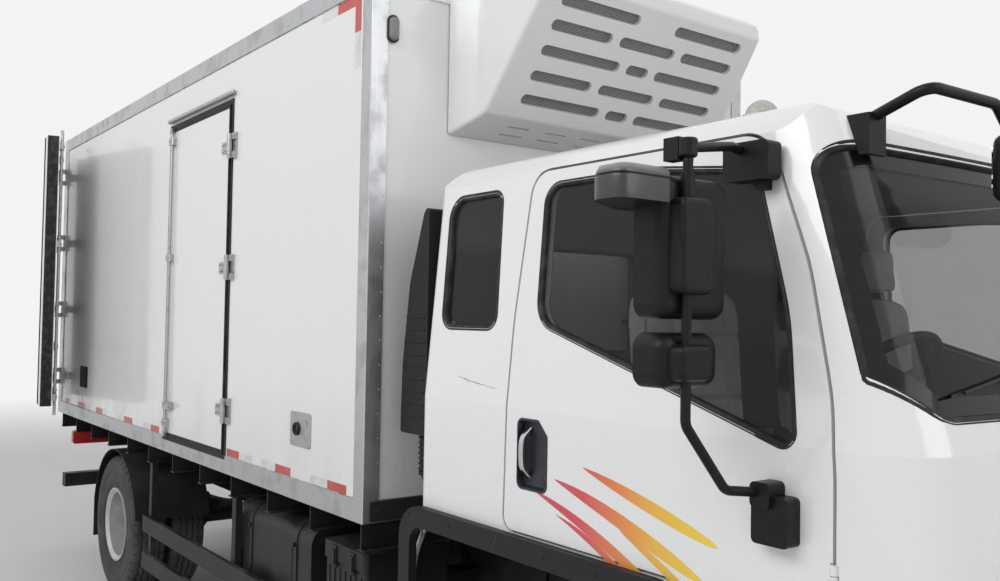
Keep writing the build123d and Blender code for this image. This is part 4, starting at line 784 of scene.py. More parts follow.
tyreLook = {
    "pitches": 44,
    "steps": [0.0, 0.012, 0.20, 0.212, 0.42, 0.55, 0.75],     # cuts along one pitch
    "notched": [1, 2],
    "notchDepth": 0.010,
    "crown": (0.470, 0.004, 0.0885),     # radius, how much it falls, by this far from the middle
    "grooves": [-0.060, -0.021, 0.021, 0.060],
    "grooveWidth": 0.011,
    "grooveDepth": 0.013,
    "zigzag": 0.0055,
    "wall": [(0.0885, 0.466), (0.0965, 0.459), (0.104, 0.449), (0.1095, 0.438), (0.1115, 0.420),
             (0.1123, 0.398), (0.1122, 0.381), (0.1136, 0.3785), (0.1136, 0.3755), (0.1120, 0.373),
             (0.1105, 0.345), (0.1080, 0.318), (0.1040, 0.297), (0.1025, 0.290), (0.1045, 0.2885),
             (0.1045, 0.2835), (0.1000, 0.281), (0.0975, 0.268), (0.0950, 0.258), (0.0930, 0.2512),
             (0.0870, 0.2505)],
    "middles": {"front": [0.89], "rear": [0.998, 0.740]},
}


def treadRows(centre, look):
    angles = [(2 * math.pi * (pitch + share) / look["pitches"], share, number in look["notched"])
              for pitch in range(look["pitches"]) for number, share in enumerate(look["steps"])]
    notches = [1, 1, 0.6] + [0] * (len(look["wall"]) - 3)
    shoulder = [(across, radius, 0, notch) for (across, radius), notch in zip(look["wall"], notches)]
    stations = [(-across, *rest) for across, *rest in reversed(shoulder)]     # across, radius, zigzag, notch
    half = look["grooveWidth"] / 2
    for middle in look["grooves"]:
        radius, fall, reach = look["crown"]
        top = radius - fall * (middle / reach) ** 2
        low = top - look["grooveDepth"]
        stations += [(middle - half, top, 1, 0), (middle - half + 0.0015, low, 1, 0),
                     (middle + half - 0.0015, low, 1, 0), (middle + half, top, 1, 0)]
    rows = []
    for across, radius, zig, notch in stations + shoulder:
        row = []
        for angle, share, cut in angles:
            wave = abs(2 * ((share + 0.25) % 1) - 1) * 2 - 1
            reach = radius - (look["notchDepth"] * notch if cut else 0)
            aside = across + wave * zig * look["zigzag"]
            row.append(centre + Vector((reach * math.cos(angle), aside, reach * math.sin(angle))))
        rows.append(row)
    return rows


for side in bothSides:
    for end, axle, tyres, wheels in (("front", frontAxle, "tyre", "wheel"),
                                     ("rear", rearAxle, "tyres", "wheels")):
        shape = Shape()
        for across in tyreLook["middles"][end]:
            shape.loft(treadRows(axle + Vector((0, side * across, 0)), tyreLook), "")
        shape.make(end + tyres.capitalize() + sideTitle[side], tyreRubber,
                   f"{end}_{wheels}_{sideName[side]}", "tyre_rubber", f"{end}_{tyres}_{sideName[side]}",
                   sharp=30)
print("tyres with tread")


# Wheel nuts, hub caps, valves

nutLook = {"circle": 0.111, "count": 6, "radius": 0.0185, "height": 0.021, "stud": (0.0105, 0.036)}
hubLook = {
    # body, face of the disc, nose of the hub, cap, circle of its bolts, their count and size
    "front": ("front_wheel_", 1.019, 1.069,
              [(-0.004, 0.060), (0.004, 0.060), (0.007, 0.057), (0.007, 0.048), (0.016, 0.046),
               (0.024, 0.040), (0.028, 0.028), (0.029, 0.010)], 0.0535, 6, (0.0052, 0.005)),
    "rear": ("rear_wheels_", 0.881, 0.919,
             [(-0.004, 0.078), (0.007, 0.078), (0.010, 0.075), (0.010, 0.044), (0.024, 0.040),
              (0.030, 0.034), (0.031, 0.010)], 0.060, 8, (0.0095, 0.009)),
}


def wheelTrim(end, side, axle):
    body, face, nose, cap, around, count, size = hubLook[end]
    shape = Shape()
    out = Vector((0, side, 0))
    radius, length = nutLook["stud"]
    for a, b in circle(nutLook["count"], nutLook["circle"]):
        spot = Vector((axle.x + a, side * face, axle.z + b))
        shape.bolt(spot, out, nutLook["radius"], nutLook["height"])
        shape.lathe([(0, radius), (length - 0.002, radius), (length, radius * 0.8)], spot, out, 14)
    centre = Vector((axle.x, side * nose, axle.z))
    shape.lathe(cap, centre, out, 36)
    for a, b in circle(count, around, 0.5):
        shape.bolt(centre + Vector((a, side * 0.007, b)), out, *size)
    valve = [Vector((axle.x + r * math.cos(0.6), side * (face + y), axle.z + r * math.sin(0.6)))
             for r, y in ((0.222, -0.012), (0.205, 0.002), (0.196, 0.03), (0.196, 0.062))]
    shape.pipe(valve, [0.0045, 0.0045, 0.0042, 0.0042])
    shape.lathe([(0, 0.0058), (0.014, 0.0058), (0.016, 0.004)], valve[-1], out, 10)
    shape.make(end + "WheelNuts" + sideTitle[side], nutSteel, body + sideName[side], "wheel_silver")


for side in bothSides:
    wheelTrim("front", side, frontAxle)
    wheelTrim("rear", side, rearAxle)
print("wheel nuts and hubs")


# Box: rivets, sealant, tape, plates, marker lamp

boxLook = {
    "rivet": (0.0042, 0.0016),       # radius, height
    "pitch": 0.098,
    "rows": (1.192, 1.142, 3.298),   # heights of the rivets: the second row has every other one
    "doorway": (-1.145, -0.085),     # the side door with its frame, on the right
    "bead": 0.0032,
    "beadEnds": (-3.71, 1.28),
    "beadHeights": (1.2102, 3.2798),
    "beadUpright": ((1.2798, 1.21), (1.2798, 3.28)),
}


def boxRivets():
    shape = Shape()
    upper, lower, top = boxLook["rows"]
    start, end = boxLook["doorway"]
    pitch = boxLook["pitch"]
    for side in bothSides:
        places = []
        for number in range(int(4.95 / pitch)):
            x = -3.66 + number * pitch
            if side > 0 or not start < x < end:
                places += [(x, upper), (x, lower)] if number % 2 else [(x, upper)]
            places.append((x, top))
        for number in range(21):
            z = 1.26 + number * pitch
            places.append((1.295, z))
            shape.rivet((boxFront, side * (boxSide - 0.066), z), ahead, *boxLook["rivet"])
        for x, z in places:
            shape.rivet((x, side * boxSide, z), (0, side, 0), *boxLook["rivet"])
    shape.make("boxRivets", aluminium, "chassis", "aluminium")


def boxSealant():
    shape = Shape()
    rear, front = boxLook["beadEnds"]
    start, end = boxLook["doorway"]
    low, high = boxLook["beadHeights"]
    for side in bothSides:
        face = side * (wallFace + 0.001)
        runs = [((rear, high), (front, high), 24), (*boxLook["beadUpright"], 12)]
        spans = [(rear, front)] if side > 0 else [(rear, start), (end, front)]
        runs += [((a, low), (b, low), 24) for a, b in spans]
        for first, last, steps in runs:
            line = [Vector(first).lerp(Vector(last), n / steps) for n in range(steps + 1)]
            shape.pipe([(point.x, face, point.y) for point in line], boxLook["bead"], 8)
    shape.make("boxSealant", sealantGrey, "chassis", "white_panel")


def tapePatches(name):
    colour, cellColour, patches, corners = tapeLook[name]
    shape = Shape()
    for side in bothSides:
        depth = mirrored(side, wallFace, wallFace + tapeLook["thick"])
        for x, z in [(span, tapeLook["span"]) for span in patches] + corners:
            shape.block(x, depth, z)
    title = "tape" + name.capitalize()
    shape.make(title, tapeFinish(title, colour, cellColour), "chassis", "white_panel")


boxRivets()
boxSealant()
tapePatches("red")
tapePatches("white")
print("box rivets, sealant and tape")


# Two blank plates on the right wall and the lamp on the front wall

plateLook = {
    "silver": ((0.672, 0.882), (1.358, 1.512)),
    "round": (0.742, 1.436, 0.030),
    "black": ((-3.13, -2.92), (1.37, 1.53)),
}
markerLook = {
    "middle": (-1.054, 3.118),
    "half": (0.026, 0.057),
    "lens": ((0.86, 0.008), (0.84, 0.016), (0.76, 0.022), (0.55, 0.026), (0.25, 0.0275)),     # share, out
}


def wallPlates():
    onWall = onY(-wallFace, -1)
    x, z = plateLook["silver"]
    shape = Shape()
    shape.prism(rectangle(x, z, 0.014, 6), 0, 0.003, onWall)
    for a, b in product(grown(x, -0.014), grown(z, -0.014)):
        shape.rivet((a, -wallFace - 0.003, b), toRight, 0.0045, 0.002)
    shape.make("silverPlate", stainless, "chassis", "stainless", bevel=0.0008)
    x, z, radius = plateLook["round"]
    shape = Shape()
    shape.lathe([(0.003, radius), (0.010, radius), (0.013, radius - 0.003), (0.013, radius - 0.010),
                 (0.006, radius - 0.012), (0.006, 0.004)], (x, -wallFace, z), toRight, 40)
    x, z = plateLook["black"]
    shape.prism(rectangle(x, z, 0.010, 6), 0, 0.005, onWall)
    shape.prism(rectangle(grown(x, -0.02), grown(z, -0.02), 0.008, 6), 0.005, 0.007, onWall)
    shape.make("blackPlates", blackPlastic, "chassis", "black_plastic", bevel=0.0012)


def markerLamp(look):
    middle = look["middle"]
    y, z = [(centre - half, centre + half) for centre, half in zip(middle, look["half"])]
    outline = rectangle(y, z, 0.0255, 10)
    front = onX(boxFront)
    base = Shape()
    base.prism(outline, 0, 0.008, front)
    base.make("markerLampBase", blackRubber, "chassis", "black_rubber", bevel=0.001)
    lens = Shape()
    lens.loft([[front(a, b, out) for a, b in scaled(outline, share, middle)] for share, out in look["lens"]])
    lens.make("markerLampLens", clearLens, "chassis", "clear_lens")


wallPlates()
markerLamp(markerLook)
print("plates and marker lamp")


# Cab glass: rubber seals laid along the true edge of each pane, and the dark print on the windscreen

cabMiddle = Vector((2.6, 0, 1.9))     # a pane faces away from it


def sharpEdges(mesh):
    # the corners of a mesh, merged, and for each the sharp edges that leave it, with their two normals
    places = {}
    numbers = []
    for vertex in mesh.vertices:
        key = tuple(round(value * 20000) for value in vertex.co)
        numbers.append(places.setdefault(key, len(places)))
    spots = {number: mesh.vertices[index].co.copy() for index, number in enumerate(numbers)}
    edges = {}
    for face in mesh.polygons:
        ring = [numbers[index] for index in face.vertices]
        for a, b in zip(ring, ring[1:] + ring[:1]):
            if a != b:
                edges.setdefault((min(a, b), max(a, b)), []).append(face.normal.copy())
    links = {}
    for (a, b), normals in edges.items():
        if len(normals) == 2 and normals[0].dot(normals[1]) < 0.75:
            links.setdefault(a, []).append((b, normals))
            links.setdefault(b, []).append((a, normals))
    return spots, links


def edgeLoop(links, left):
    # one closed walk along the sharp edges
    start = here = min(left)
    path = [start]
    pairs = []
    before = None
    while True:
        left.discard(here)
        onward = [(there, normals) for there, normals in links[here] if there != before]
        if not onward:
            break
        fresh = [one for one in onward if one[0] in left]
        there, normals = fresh[0] if fresh else onward[0]
        pairs.append(normals)
        if there == start or there not in left:
            break
        path.append(there)
        before, here = here, there
    return path, pairs


def paneRims(name):
    # the outer edge loop of every pane in a node, with the pane's normal along it
    spots, links = sharpEdges(nodes[name].data)
    rims = []
    left = set(links)
    while left:
        path, pairs = edgeLoop(links, left)
        if len(path) < 8:
            continue
        facing = sum((normal for pair in pairs for normal in pair), Vector((0, 0, 0))).normalized()
        points = [spots[number] for number in path]
        middle = sum(points, Vector((0, 0, 0))) / len(points)
        if facing.dot(middle - cabMiddle) >= 0:
            chosen = [max(pair, key=lambda normal: normal.dot(facing)) for pair in pairs]
            rims.append((points, chosen, middle))
    return rims


def edgeFrames(rim, spacing=0.010):
    # evenly spaced places along a rim with the outward way and the normal at each
    points, normals, middle = rim
    even = evenly(points, spacing, closed=True)
    frames = []
    for number, point in enumerate(even):
        nearest = min(range(len(points)), key=lambda index: (points[index] - point).length_squared)
        normal = normals[min(nearest, len(normals) - 1)]
        along = (even[(number + 1) % len(even)] - even[number - 1]).normalized()
        outward = along.cross(normal).normalized()
        frames.append((point, -outward if outward.dot(point - middle) < 0 else outward, normal))
    return frames


def layStrip(shape, frames, section, skin):
    # section of (out from the pane's edge, up from the glass); beyond the edge it lies on the skin
    rows = []
    for out, up in section:
        row = []
        for point, outward, normal in frames:
            spot = point + outward * out + normal * up
            found = skin.near(point + outward * out + normal * 0.014)
            if out > 0 and (found - spot).length < 0.03:
                spot = found + normal * up
            row.append(spot)
        rows.append(row)
    shape.loft(rows, "")


lipSection = [(-0.014, 0.0006), (-0.0125, 0.0080), (-0.010, 0.0125), (-0.002, 0.0150)]
sealLook = {
    # out from the edge of the pane, up from what it lies on: the body's skin beyond the edge
    "door": lipSection + [(0.0025, 0.0014), (0.0055, 0.0012), (0.0065, 0.0002)],
    "fixed": lipSection + [(0.0025, 0.0016), (0.0085, 0.0014), (0.0095, 0.0002)],
    "windscreen": [(-0.012, 0.0006), (-0.0105, 0.0080), (-0.008, 0.0130), (-0.001, 0.0152),
                   (0.003, 0.0016), (0.0095, 0.0014), (0.0105, 0.0002)],
    "print": (-0.058, -0.029, -0.002),
}


def cabSeals():
    skin = Skin("cab_roof", "cab_back", "cab_front_panel", "cab_door_left", "cab_door_right")
    glass = Skin("cab_windows")
    for side in bothSides:
        shape = Shape()
        for rim in paneRims("cab_door_glass_" + sideName[side]):
            layStrip(shape, edgeFrames(rim), sealLook["door"], skin)
        shape.make("doorGlassSeal" + sideTitle[side], sealRubber, "cab_door_" + sideName[side],
                   "black_rubber")
    fixed = Shape()
    screen = Shape()
    dark = Shape()
    for rim in paneRims("cab_windows"):
        frames = edgeFrames(rim)
        if rim[2].x > 3.0:
            layStrip(screen, frames, sealLook["windscreen"], skin)
            dark.loft([[glass.near(point + outward * out + normal * 0.004) + normal * 0.0007
                        for point, outward, normal in frames] for out in sealLook["print"]], "")
        else:
            layStrip(fixed, frames, sealLook["fixed"], skin)
    fixed.make("fixedGlassSeals", sealRubber, "cab", "black_rubber")
    screen.make("windscreenSeal", sealRubber, "cab", "black_rubber")
    dark.make("windscreenPrint", printBlack, "cab", "black_rubber")


cabSeals()
print("glass seals")


# Door handles: a moulded lining in the recess with a bowed bright bar near its rear edge

handleLook = {
    "outline": [(2.247, 1.397), (2.393, 1.397), (2.393, 1.569), (2.349, 1.616), (2.247, 1.616)],
    "radii": [0.024, 0.024, 0.012, 0.012, 0.024],
    "middle": (2.320, 1.507),
    # share of the outline, height over the door's skin
    "tray": ((1.055, -0.0008), (1.05, 0.0022), (1.02, 0.0030), (0.985, 0.0026), (0.965, -0.004),
             (0.945, -0.0235), (0.90, -0.0250), (0.30, -0.0250)),
    "lock": (2.362, 1.430),
    "bar": (2.282, 1.425, 1.592),    # x, lowest and highest point
    "barHalf": 0.0105,
    "skin": 1.070,
}


def doorHandle(side, look):
    outline = roundedOutline(look["outline"], look["radii"], 5)
    door = "cab_door_" + sideName[side]
    onDoor = onY(side * look["skin"], side)
    tray = Shape()
    tray.loft([[onDoor(a, b, out) for a, b in scaled(outline, share, look["middle"])]
               for share, out in look["tray"]])
    tray.lathe([(0, 0.013), (0.010, 0.013), (0.012, 0.011), (0.012, 0.003)], onDoor(*look["lock"], -0.025),
               (0, side, 0), 24)
    tray.make("doorHandleTray" + sideTitle[side], handleBlack, door, "black_plastic", sharp=30)
    x, low, high = look["bar"]
    half = look["barHalf"]
    rows = []
    for step in range(17):
        share = step / 16
        bow = 4 * share * (1 - share)
        out = -0.0225 + 0.026 * min(1, bow * 1.5) + 0.004 * bow
        section = ((-half, 0), (-half * 0.7, 0.0035), (half * 0.7, 0.0035), (half, 0), (half, -0.008),
                   (-half, -0.008))
        rows.append([onDoor(x - 0.012 * bow + across, low + (high - low) * share, out + lift)
                     for across, lift in section])
    bar = Shape()
    bar.loft(rows, "first last")
    bar.make("doorHandleBar" + sideTitle[side], chrome, door, "stainless")


for side in bothSides:
    doorHandle(side, handleLook)
print("door handles")


# Streaks on the right door: five tapered strokes, from red at the rear to yellow ahead

streakLook = {
    # start (x, z), bend (x, z), end (x, z), widest
    "strokes": [
        ((2.325, 1.398), (2.60, 1.338), (2.95, 1.160), 0.040),
        ((2.430, 1.446), (2.68, 1.398), (3.04, 1.258), 0.052),
        ((2.560, 1.500), (2.78, 1.450), (3.082, 1.362), 0.044),
        ((2.440, 1.338), (2.64, 1.290), (2.86, 1.150), 0.026),
        ((2.720, 1.342), (2.87, 1.290), (3.06, 1.180), 0.030),
    ],
    "lift": 0.0006,
    "ramp": [(0.0, shade(0.55, 0.012, 0.060)), (0.30, shade(0.62, 0.030, 0.045)),
             (0.52, shade(0.72, 0.20, 0.030)), (0.72, shade(0.76, 0.42, 0.015)),
             (1.0, shade(0.80, 0.60, 0.010))],
    "span": (2.36, 3.06),
    "faded": shade(0.62, 0.58, 0.54),
}


def streakFinish(look):
    finish = Finish("streakFilm", Coat_Weight=0.5, Coat_Roughness=0.08)
    start, end = look["span"]
    along = (finish.axes()[0] - start) / (end - start)
    colour = finish.node("ShaderNodeValToRGB", {"stops": look["ramp"]}, {0: along})
    fade = finish.noise(9.0, 4.0)
    finish.set(Base_Color=finish.mix(fade * 0.12, colour, look["faded"]))
    return finish.set(Roughness=0.30 + fade * 0.12, Normal=finish.bump(finish.noise(240.0), 0.0001))


def onRightSkin(skin, a, b, lift, level):
    # a point of the right side's skin, seen along Y, or one at the stated level where there is none
    found = skin.hit((a, -1.3, b), (0, 1, 0))
    return Vector((a, (found[0].y if found else level) - lift, b))


def doorStreaks(look):
    skin = Skin("cab_door_right")
    shape = Shape()
    for start, bend, end, wide in look["strokes"]:
        start, bend, end = Vector(start), Vector(bend), Vector(end)
        rows = []
        for step in range(49):
            share = step / 48
            middle = start * (1 - share) ** 2 + bend * 2 * share * (1 - share) + end * share ** 2
            along = ((bend - start) * (1 - share) + (end - bend) * share).normalized()
            aside = Vector((-along.y, along.x)) * wide * (share ** 0.85) * ((1 - share) ** 0.55) * 1.25
            rows.append([onRightSkin(skin, *(middle + aside * part), look["lift"], -1.07)
                         for part in (-1, -0.34, 0.34 * 0.72, 0.72)])
        shape.grid(rows)
    shape.make("doorStreaks", streakFinish(look), "cab_door_right", "cab_white")


scratchLook = {
    # points (x, z), width
    "lines": [([(1.884, 1.7350), (1.925, 1.7300), (1.961, 1.7225), (1.995, 1.7190)], 0.0013),
              ([(1.965, 1.7235), (2.010, 1.7165), (2.046, 1.7135)], 0.0016),
              ([(2.040, 1.7150), (2.085, 1.7080), (2.121, 1.7050)], 0.0011),
              ([(1.930, 1.7225), (1.958, 1.7180)], 0.0008)],
    "lift": 0.0003,
}


def quarterScratch(look):
    skin = Skin("cab_back")
    shape = Shape()
    for line, wide in look["lines"]:
        points = evenly([(a, 0, b) for a, b in line], 0.008)
        rows = []
        for number, point in enumerate(points):
            share = number / (len(points) - 1)
            half = wide * (0.25 + 3 * share * (1 - share))
            rows.append([onRightSkin(skin, point.x, point.z + half * part, look["lift"], -1.064)
                         for part in (-1, 1)])
        shape.grid(rows)
    shape.make("quarterScratch", scratched, "cab", "cab_white")


doorStreaks(streakLook)
quarterScratch(scratchLook)
print("streaks and scratch")


# Mirrors: glass on the rear faces, the shell of the kerb mirror with a painted highlight on its top, the
# joint on the arm

mirrorLook = {
    "rear": 3.110,
    # y, z, corner radius
    "glasses": [((1.185, 1.415), (1.948, 2.283), 0.038), ((1.215, 1.415), (1.787, 1.916), 0.038)],
    "joint": (3.217, 1.350, 2.345),
    "kerb": [(3.229, 1.408), (3.229, 1.575), (3.137, 1.575), (3.047, 1.420), (3.047, 1.290), (3.111, 1.290),
             (3.111, 1.408)],
    "kerbRadii": [0.020, 0.030, 0.050, 0.070, 0.030, 0, 0],
    "kerbMiddle": (3.14, 1.44),
    "kerbEdge": 1.5765,              # the model's own limit across
    "kerbRows": ((1.006, 2.2105), (1.008, 2.2205), (1.008, 2.258), (0.985, 2.273), (0.92, 2.287),
                 (0.78, 2.292), (0.45, 2.294)),      # share of the outline, height
}


def mirrorDetails(side, look):
    door = "cab_door_" + sideName[side]
    onRear = onX(look["rear"], -1)
    glass = Shape()
    frame = Shape()
    for y, z, corner in look["glasses"]:
        for shape, inset, low, high in ((frame, 0.004, 0, 0.004), (glass, 0.012, 0.0035, 0.0052)):
            outline = rectangle(grown(y, -inset), grown(z, -inset), corner - inset, 6)
            shape.prism([(side * a, b) for a, b in outline], low, high, onRear)
    glass.make("mirrorGlass" + sideTitle[side], mirrorGlass, door, "mirror_plastic")
    x, y, z = look["joint"]
    joint = Vector((x, side * y, z))
    frame.lathe([(-0.022, 0.019), (-0.018, 0.022), (0.018, 0.022), (0.022, 0.019)], joint, skyward, 20)
    frame.block((x - 0.062, x - 0.016), grown((side * y, side * y), 0.017), (2.318, 2.372))
    for up in (0.010, -0.014):
        frame.bolt(joint + Vector((-0.062, 0, up)), behind, 0.008, 0.009)
    frame.pipe([joint + Vector((0, 0, -0.06)), joint + Vector((0, 0, -0.115))], 0.0165, 16)
    frame.make("mirrorFrames" + sideTitle[side], mirrorPlastic, door, "mirror_plastic", bevel=0.002)
    outline = roundedOutline(look["kerb"], look["kerbRadii"], 6)
    shell = Shape()
    edge = look["kerbEdge"]
    shell.loft([[(a, side * min(edge, b), z) for a, b in scaled(outline, share, look["kerbMiddle"])]
                for share, z in look["kerbRows"]])
    shell.make("kerbMirrorShell" + sideTitle[side], shellPaintedTop, door, "mirror_plastic", sharp=50)


for side in bothSides:
    mirrorDetails(side, mirrorLook)
print("mirrors")


# Wipers

wiperLook = {
    # foot (y, z), the blade's two ends (y, z)
    "wipers": [((-0.10, 1.690), (-0.86, 1.772), (-0.26, 1.872)),
               ((0.66, 1.690), (-0.10, 1.772), (0.50, 1.872))],
    # from the glass, up
    "section": ((0.0010, 0), (0.020, 0), (0.020, 0.006), (0.0050, 0.004), (0.0010, 0)),
    "out": (1, 0, 0.35),
}


def wipers(look):
    glass = Skin("cab_windows")
    body = Skin("cab_front_panel", "cab_windows")
    out = Vector(look["out"]).normalized()
    shape = Shape()
    for foot, first, second in look["wipers"]:
        line = [Vector(first).lerp(Vector(second), step / 24) for step in range(25)]
        blade = [glass.hit((5, y, z), behind) for y, z in line]
        blade = [found for found in blade if found and found[0].x > 3.2]
        shape.grid([[spot + normal * lift + Vector((0, 0, up)) for spot, normal in blade]
                    for lift, up in look["section"]])
        shape.pipe([spot + normal * 0.024 for spot, normal in blade[2:-2]], 0.0042, 8)
        spot, normal = blade[len(blade) // 2]
        rest = body.hit((5, *foot), behind)
        start = rest[0] if rest else Vector((3.62, *foot))
        shape.lathe([(-0.01, 0.024), (0.022, 0.024), (0.030, 0.018), (0.034, 0.006)], start, out, 24)
        hinge = start.lerp(spot, 0.28) + normal * 0.034
        knee = start.lerp(hinge, 0.5) + normal * 0.012
        shape.pipe([start + out * 0.026, knee, hinge], [0.011, 0.012, 0.010])
        shape.pipe(evenly([hinge, spot + normal * 0.030], 0.05), 0.0065)
        shape.bolt(start + out * 0.033, out, 0.008, 0.008)
    shape.make("wipers", wiperBlack, "cab", "black_plastic", sharp=50)


wipers(wiperLook)
print("wipers")


# Seats: cushions, backs and headrests blown up by cloth pressure, with sewn channels and piping

seatLook = {
    # middle (x, y, z), whole size, lean (x per z), voxel, channels across Y, channels along the other way
    "driverCushion": ((2.840, -0.56, 1.398), (0.530, 0.490, 0.112), 0, 0.015, [-0.13, 0.13], [0.10]),
    "driverBack": ((2.520, -0.56, 1.765), (0.112, 0.490, 0.600), -0.086, 0.015, [-0.13, 0.13],
                   [-0.08, 0.13]),
    "driverRest": ((2.483, -0.56, 2.170), (0.074, 0.250, 0.172), -0.10, 0.011, [], []),
    "mateCushion": ((2.840, 0.38, 1.398), (0.530, 0.860, 0.112), 0, 0.017, [-0.32, 0, 0.32], [0.10]),
    "mateBack": ((2.520, 0.38, 1.765), (0.112, 0.860, 0.600), -0.086, 0.017, [-0.32, 0, 0.32],
                 [-0.08, 0.13]),
    "mateRestInner": ((2.483, 0.155, 2.170), (0.074, 0.250, 0.172), -0.10, 0.011, [], []),
    "mateRestOuter": ((2.483, 0.605, 2.170), (0.074, 0.250, 0.172), -0.10, 0.011, [], []),
    "benchCushion": ((2.000, 0.0, 1.385), (0.410, 1.860, 0.104), 0, 0.020, [-0.46, 0, 0.46], []),
}
puffLook = {
    "pressure": 4.0,
    "frames": 20,
    "cap": 0.014,                    # no point moves further than this
    "roundness": 7.0,
    "groove": 0.010,
    "grooveWidth": 0.018,
    "piping": 0.0042,
}


def roundedForm(size, look):
    # a cube's faces bulged to a form that is crowned and rounded at its corners
    work = bmesh.new()
    bmesh.ops.create_cube(work, size=2.0)
    bmesh.ops.subdivide_edges(work, edges=work.edges, cuts=11, use_grid_fill=True)
    power = look["roundness"]
    for vertex in work.verts:
        aim = vertex.co.normalized()
        reach = sum(abs(value) ** power for value in aim) ** (-1 / power)
        vertex.co = Vector([value * reach * half / 2 for value, half in zip(aim, size)])
    mesh = bpy.data.meshes.new("form")
    work.to_mesh(mesh)
    work.free()
    return mesh


def applied(piece):
    bpy.context.view_layer.update()
    seen = piece.evaluated_get(bpy.context.evaluated_depsgraph_get())
    mesh = bpy.data.meshes.new_from_object(seen)
    piece.modifiers.clear()
    return mesh


def puffed(mesh, voxel, look):
    # voxel remesh, then cloth under pressure, no point moving more than the cap
    piece = bpy.data.objects.new("puff", mesh)
    bpy.context.scene.collection.objects.link(piece)
    remesh = piece.modifiers.new("remesh", "REMESH")
    remesh.mode = "VOXEL"
    remesh.voxel_size = voxel
    even = applied(piece)
    piece.data = even
    before = [vertex.co.copy() for vertex in even.vertices]
    cloth = piece.modifiers.new("cloth", "CLOTH")
    cloth.settings.use_pressure = True
    cloth.settings.uniform_pressure_force = look["pressure"]
    cloth.settings.effector_weights.gravity = 0
    cloth.settings.quality = 4
    for frameNumber in range(1, look["frames"] + 1):
        bpy.context.scene.frame_set(frameNumber)
    blown = applied(piece)
    for vertex, start in zip(blown.vertices, before):
        move = vertex.co - start
        if move.length > look["cap"]:
            vertex.co = start + move.normalized() * look["cap"]
    piece.data = blown
    bpy.context.scene.frame_set(1)
    piece.modifiers.new("finer", "SUBSURF").levels = 1
    result = applied(piece)
    bpy.data.objects.remove(piece)
    return result


def sewn(mesh, size, acrossY, along, look):
    # pull the cover in along its channels; a cushion's run along x, a back's along z
    way, out = (0, 2) if size[2] < size[0] else (2, 0)
    for vertex in mesh.vertices:
        if vertex.co[out] / size[out] < 0.2:
            continue
        gaps = [abs(vertex.co[1] - y) for y in acrossY] + [abs(vertex.co[way] - level) for level in along]
        pull = max([0] + [1 - gap / look["grooveWidth"] for gap in gaps])
        if pull > 0:
            vertex.co -= vertex.normal * look["groove"] * pull ** 1.5
    return mesh


def pipingPath(mesh, size):
    # the line where the top panel meets the sides, read from the finished form
    points = [vertex.co for vertex in mesh.vertices]
    tree = BVHTree.FromPolygons(points, [tuple(face.vertices) for face in mesh.polygons])
    flat = size[2] < size[0]
    path = []
    for turn in circle(96, 1.0):
        a, b = [abs(value) ** 0.42 * math.copysign(0.49, value) for value in turn]
        aim = (a, b, 0.36) if flat else (0.36, a, b)
        path.append(tree.find_nearest(Vector([share * whole for share, whole in zip(aim, size)]))[0])
    return evenly(path, 0.02, closed=True)


def seatPart(name, middle, size, lean, voxel, acrossY, along):
    mesh = sewn(puffed(roundedForm(size, puffLook), voxel, puffLook), size, acrossY, along, puffLook)
    leant = Matrix.Identity(4)
    leant[0][2] = lean
    leant = Matrix.Translation(middle) @ leant
    trim = Shape()
    trim.pipe([leant @ point for point in pipingPath(mesh, size)], puffLook["piping"], 8, closed=True)
    trim.make(name + "Piping", seatPiping, "cab", "seat_cover", "seats")
    mesh.transform(leant)
    mesh.name = name
    mesh.shade_smooth()
    mesh.materials.clear()
    mesh.materials.append(seatCover.material)
    linked(name, mesh, "cab", "seats")


def seatFrames():
    # plinths, side covers and slide rails under the cushions, posts under the headrests
    shape = Shape()
    cover = roundedOutline([(2.47, 1.345), (2.66, 1.345), (2.64, 1.42), (2.53, 1.56), (2.47, 1.56)], 0.02, 4)
    for low, high in ((-0.785, -0.335), (-0.02, 0.78)):
        shape.block((2.640, 3.040), (low + 0.02, high - 0.02), (1.213, 1.300))
        shape.block((2.600, 3.080), (low, high), (1.300, 1.346))
        for y in (low + 0.05, high - 0.07):
            shape.block((2.60, 3.09), (y, y + 0.02), (1.2105, 1.232))
        for y in (low - 0.012, high - 0.006):
            shape.prism(cover, y, y + 0.018, onY(0))
        shape.lathe([(0, 0.030), (0.012, 0.030), (0.016, 0.026)], (2.535, high + 0.012, 1.40), (0, 1, 0), 20)
    for y, aside in product((-0.56, 0.155, 0.605), (-0.055, 0.055)):
        shape.pipe([(2.494, y + aside, 2.03), (2.486, y + aside, 2.12)], 0.0065)
    shape.block((1.800, 2.200), (-0.93, 0.93), (1.2105, 1.325))
    for y in (-0.62, -0.02, 0.58):
        shape.block((2.200, 2.206), (y - 0.25, y + 0.29), (1.228, 1.318))
    shape.make("seatFrames", blackPlastic, "cab", "black_plastic", "seats", bevel=0.004)


for name, values in seatLook.items():
    seatPart(name, *values)
seatFrames()
print("seats")


# Rear doors: gaskets, bolts and grips, laid out on the closed left leaf and turned for the open right one

def skinLine(shape, skin, points, direction, wide, lift):
    # a narrow flat line laid on a surface, seen along a direction
    direction = Vector(direction)
    found = [skin.hit(point - direction * 0.3, direction) for point in evenly(points, 0.02)]
    found = [hit for hit in found if hit]
    rows = [[], []]
    for number, (spot, normal) in enumerate(found):
        before = found[max(0, number - 1)][0]
        after = found[min(len(found) - 1, number + 1)][0]
        aside = (after - before).cross(normal).normalized() * wide / 2
        rows[0].append(spot + aside + normal * lift)
        rows[1].append(spot - aside + normal * lift)
    shape.grid(rows)


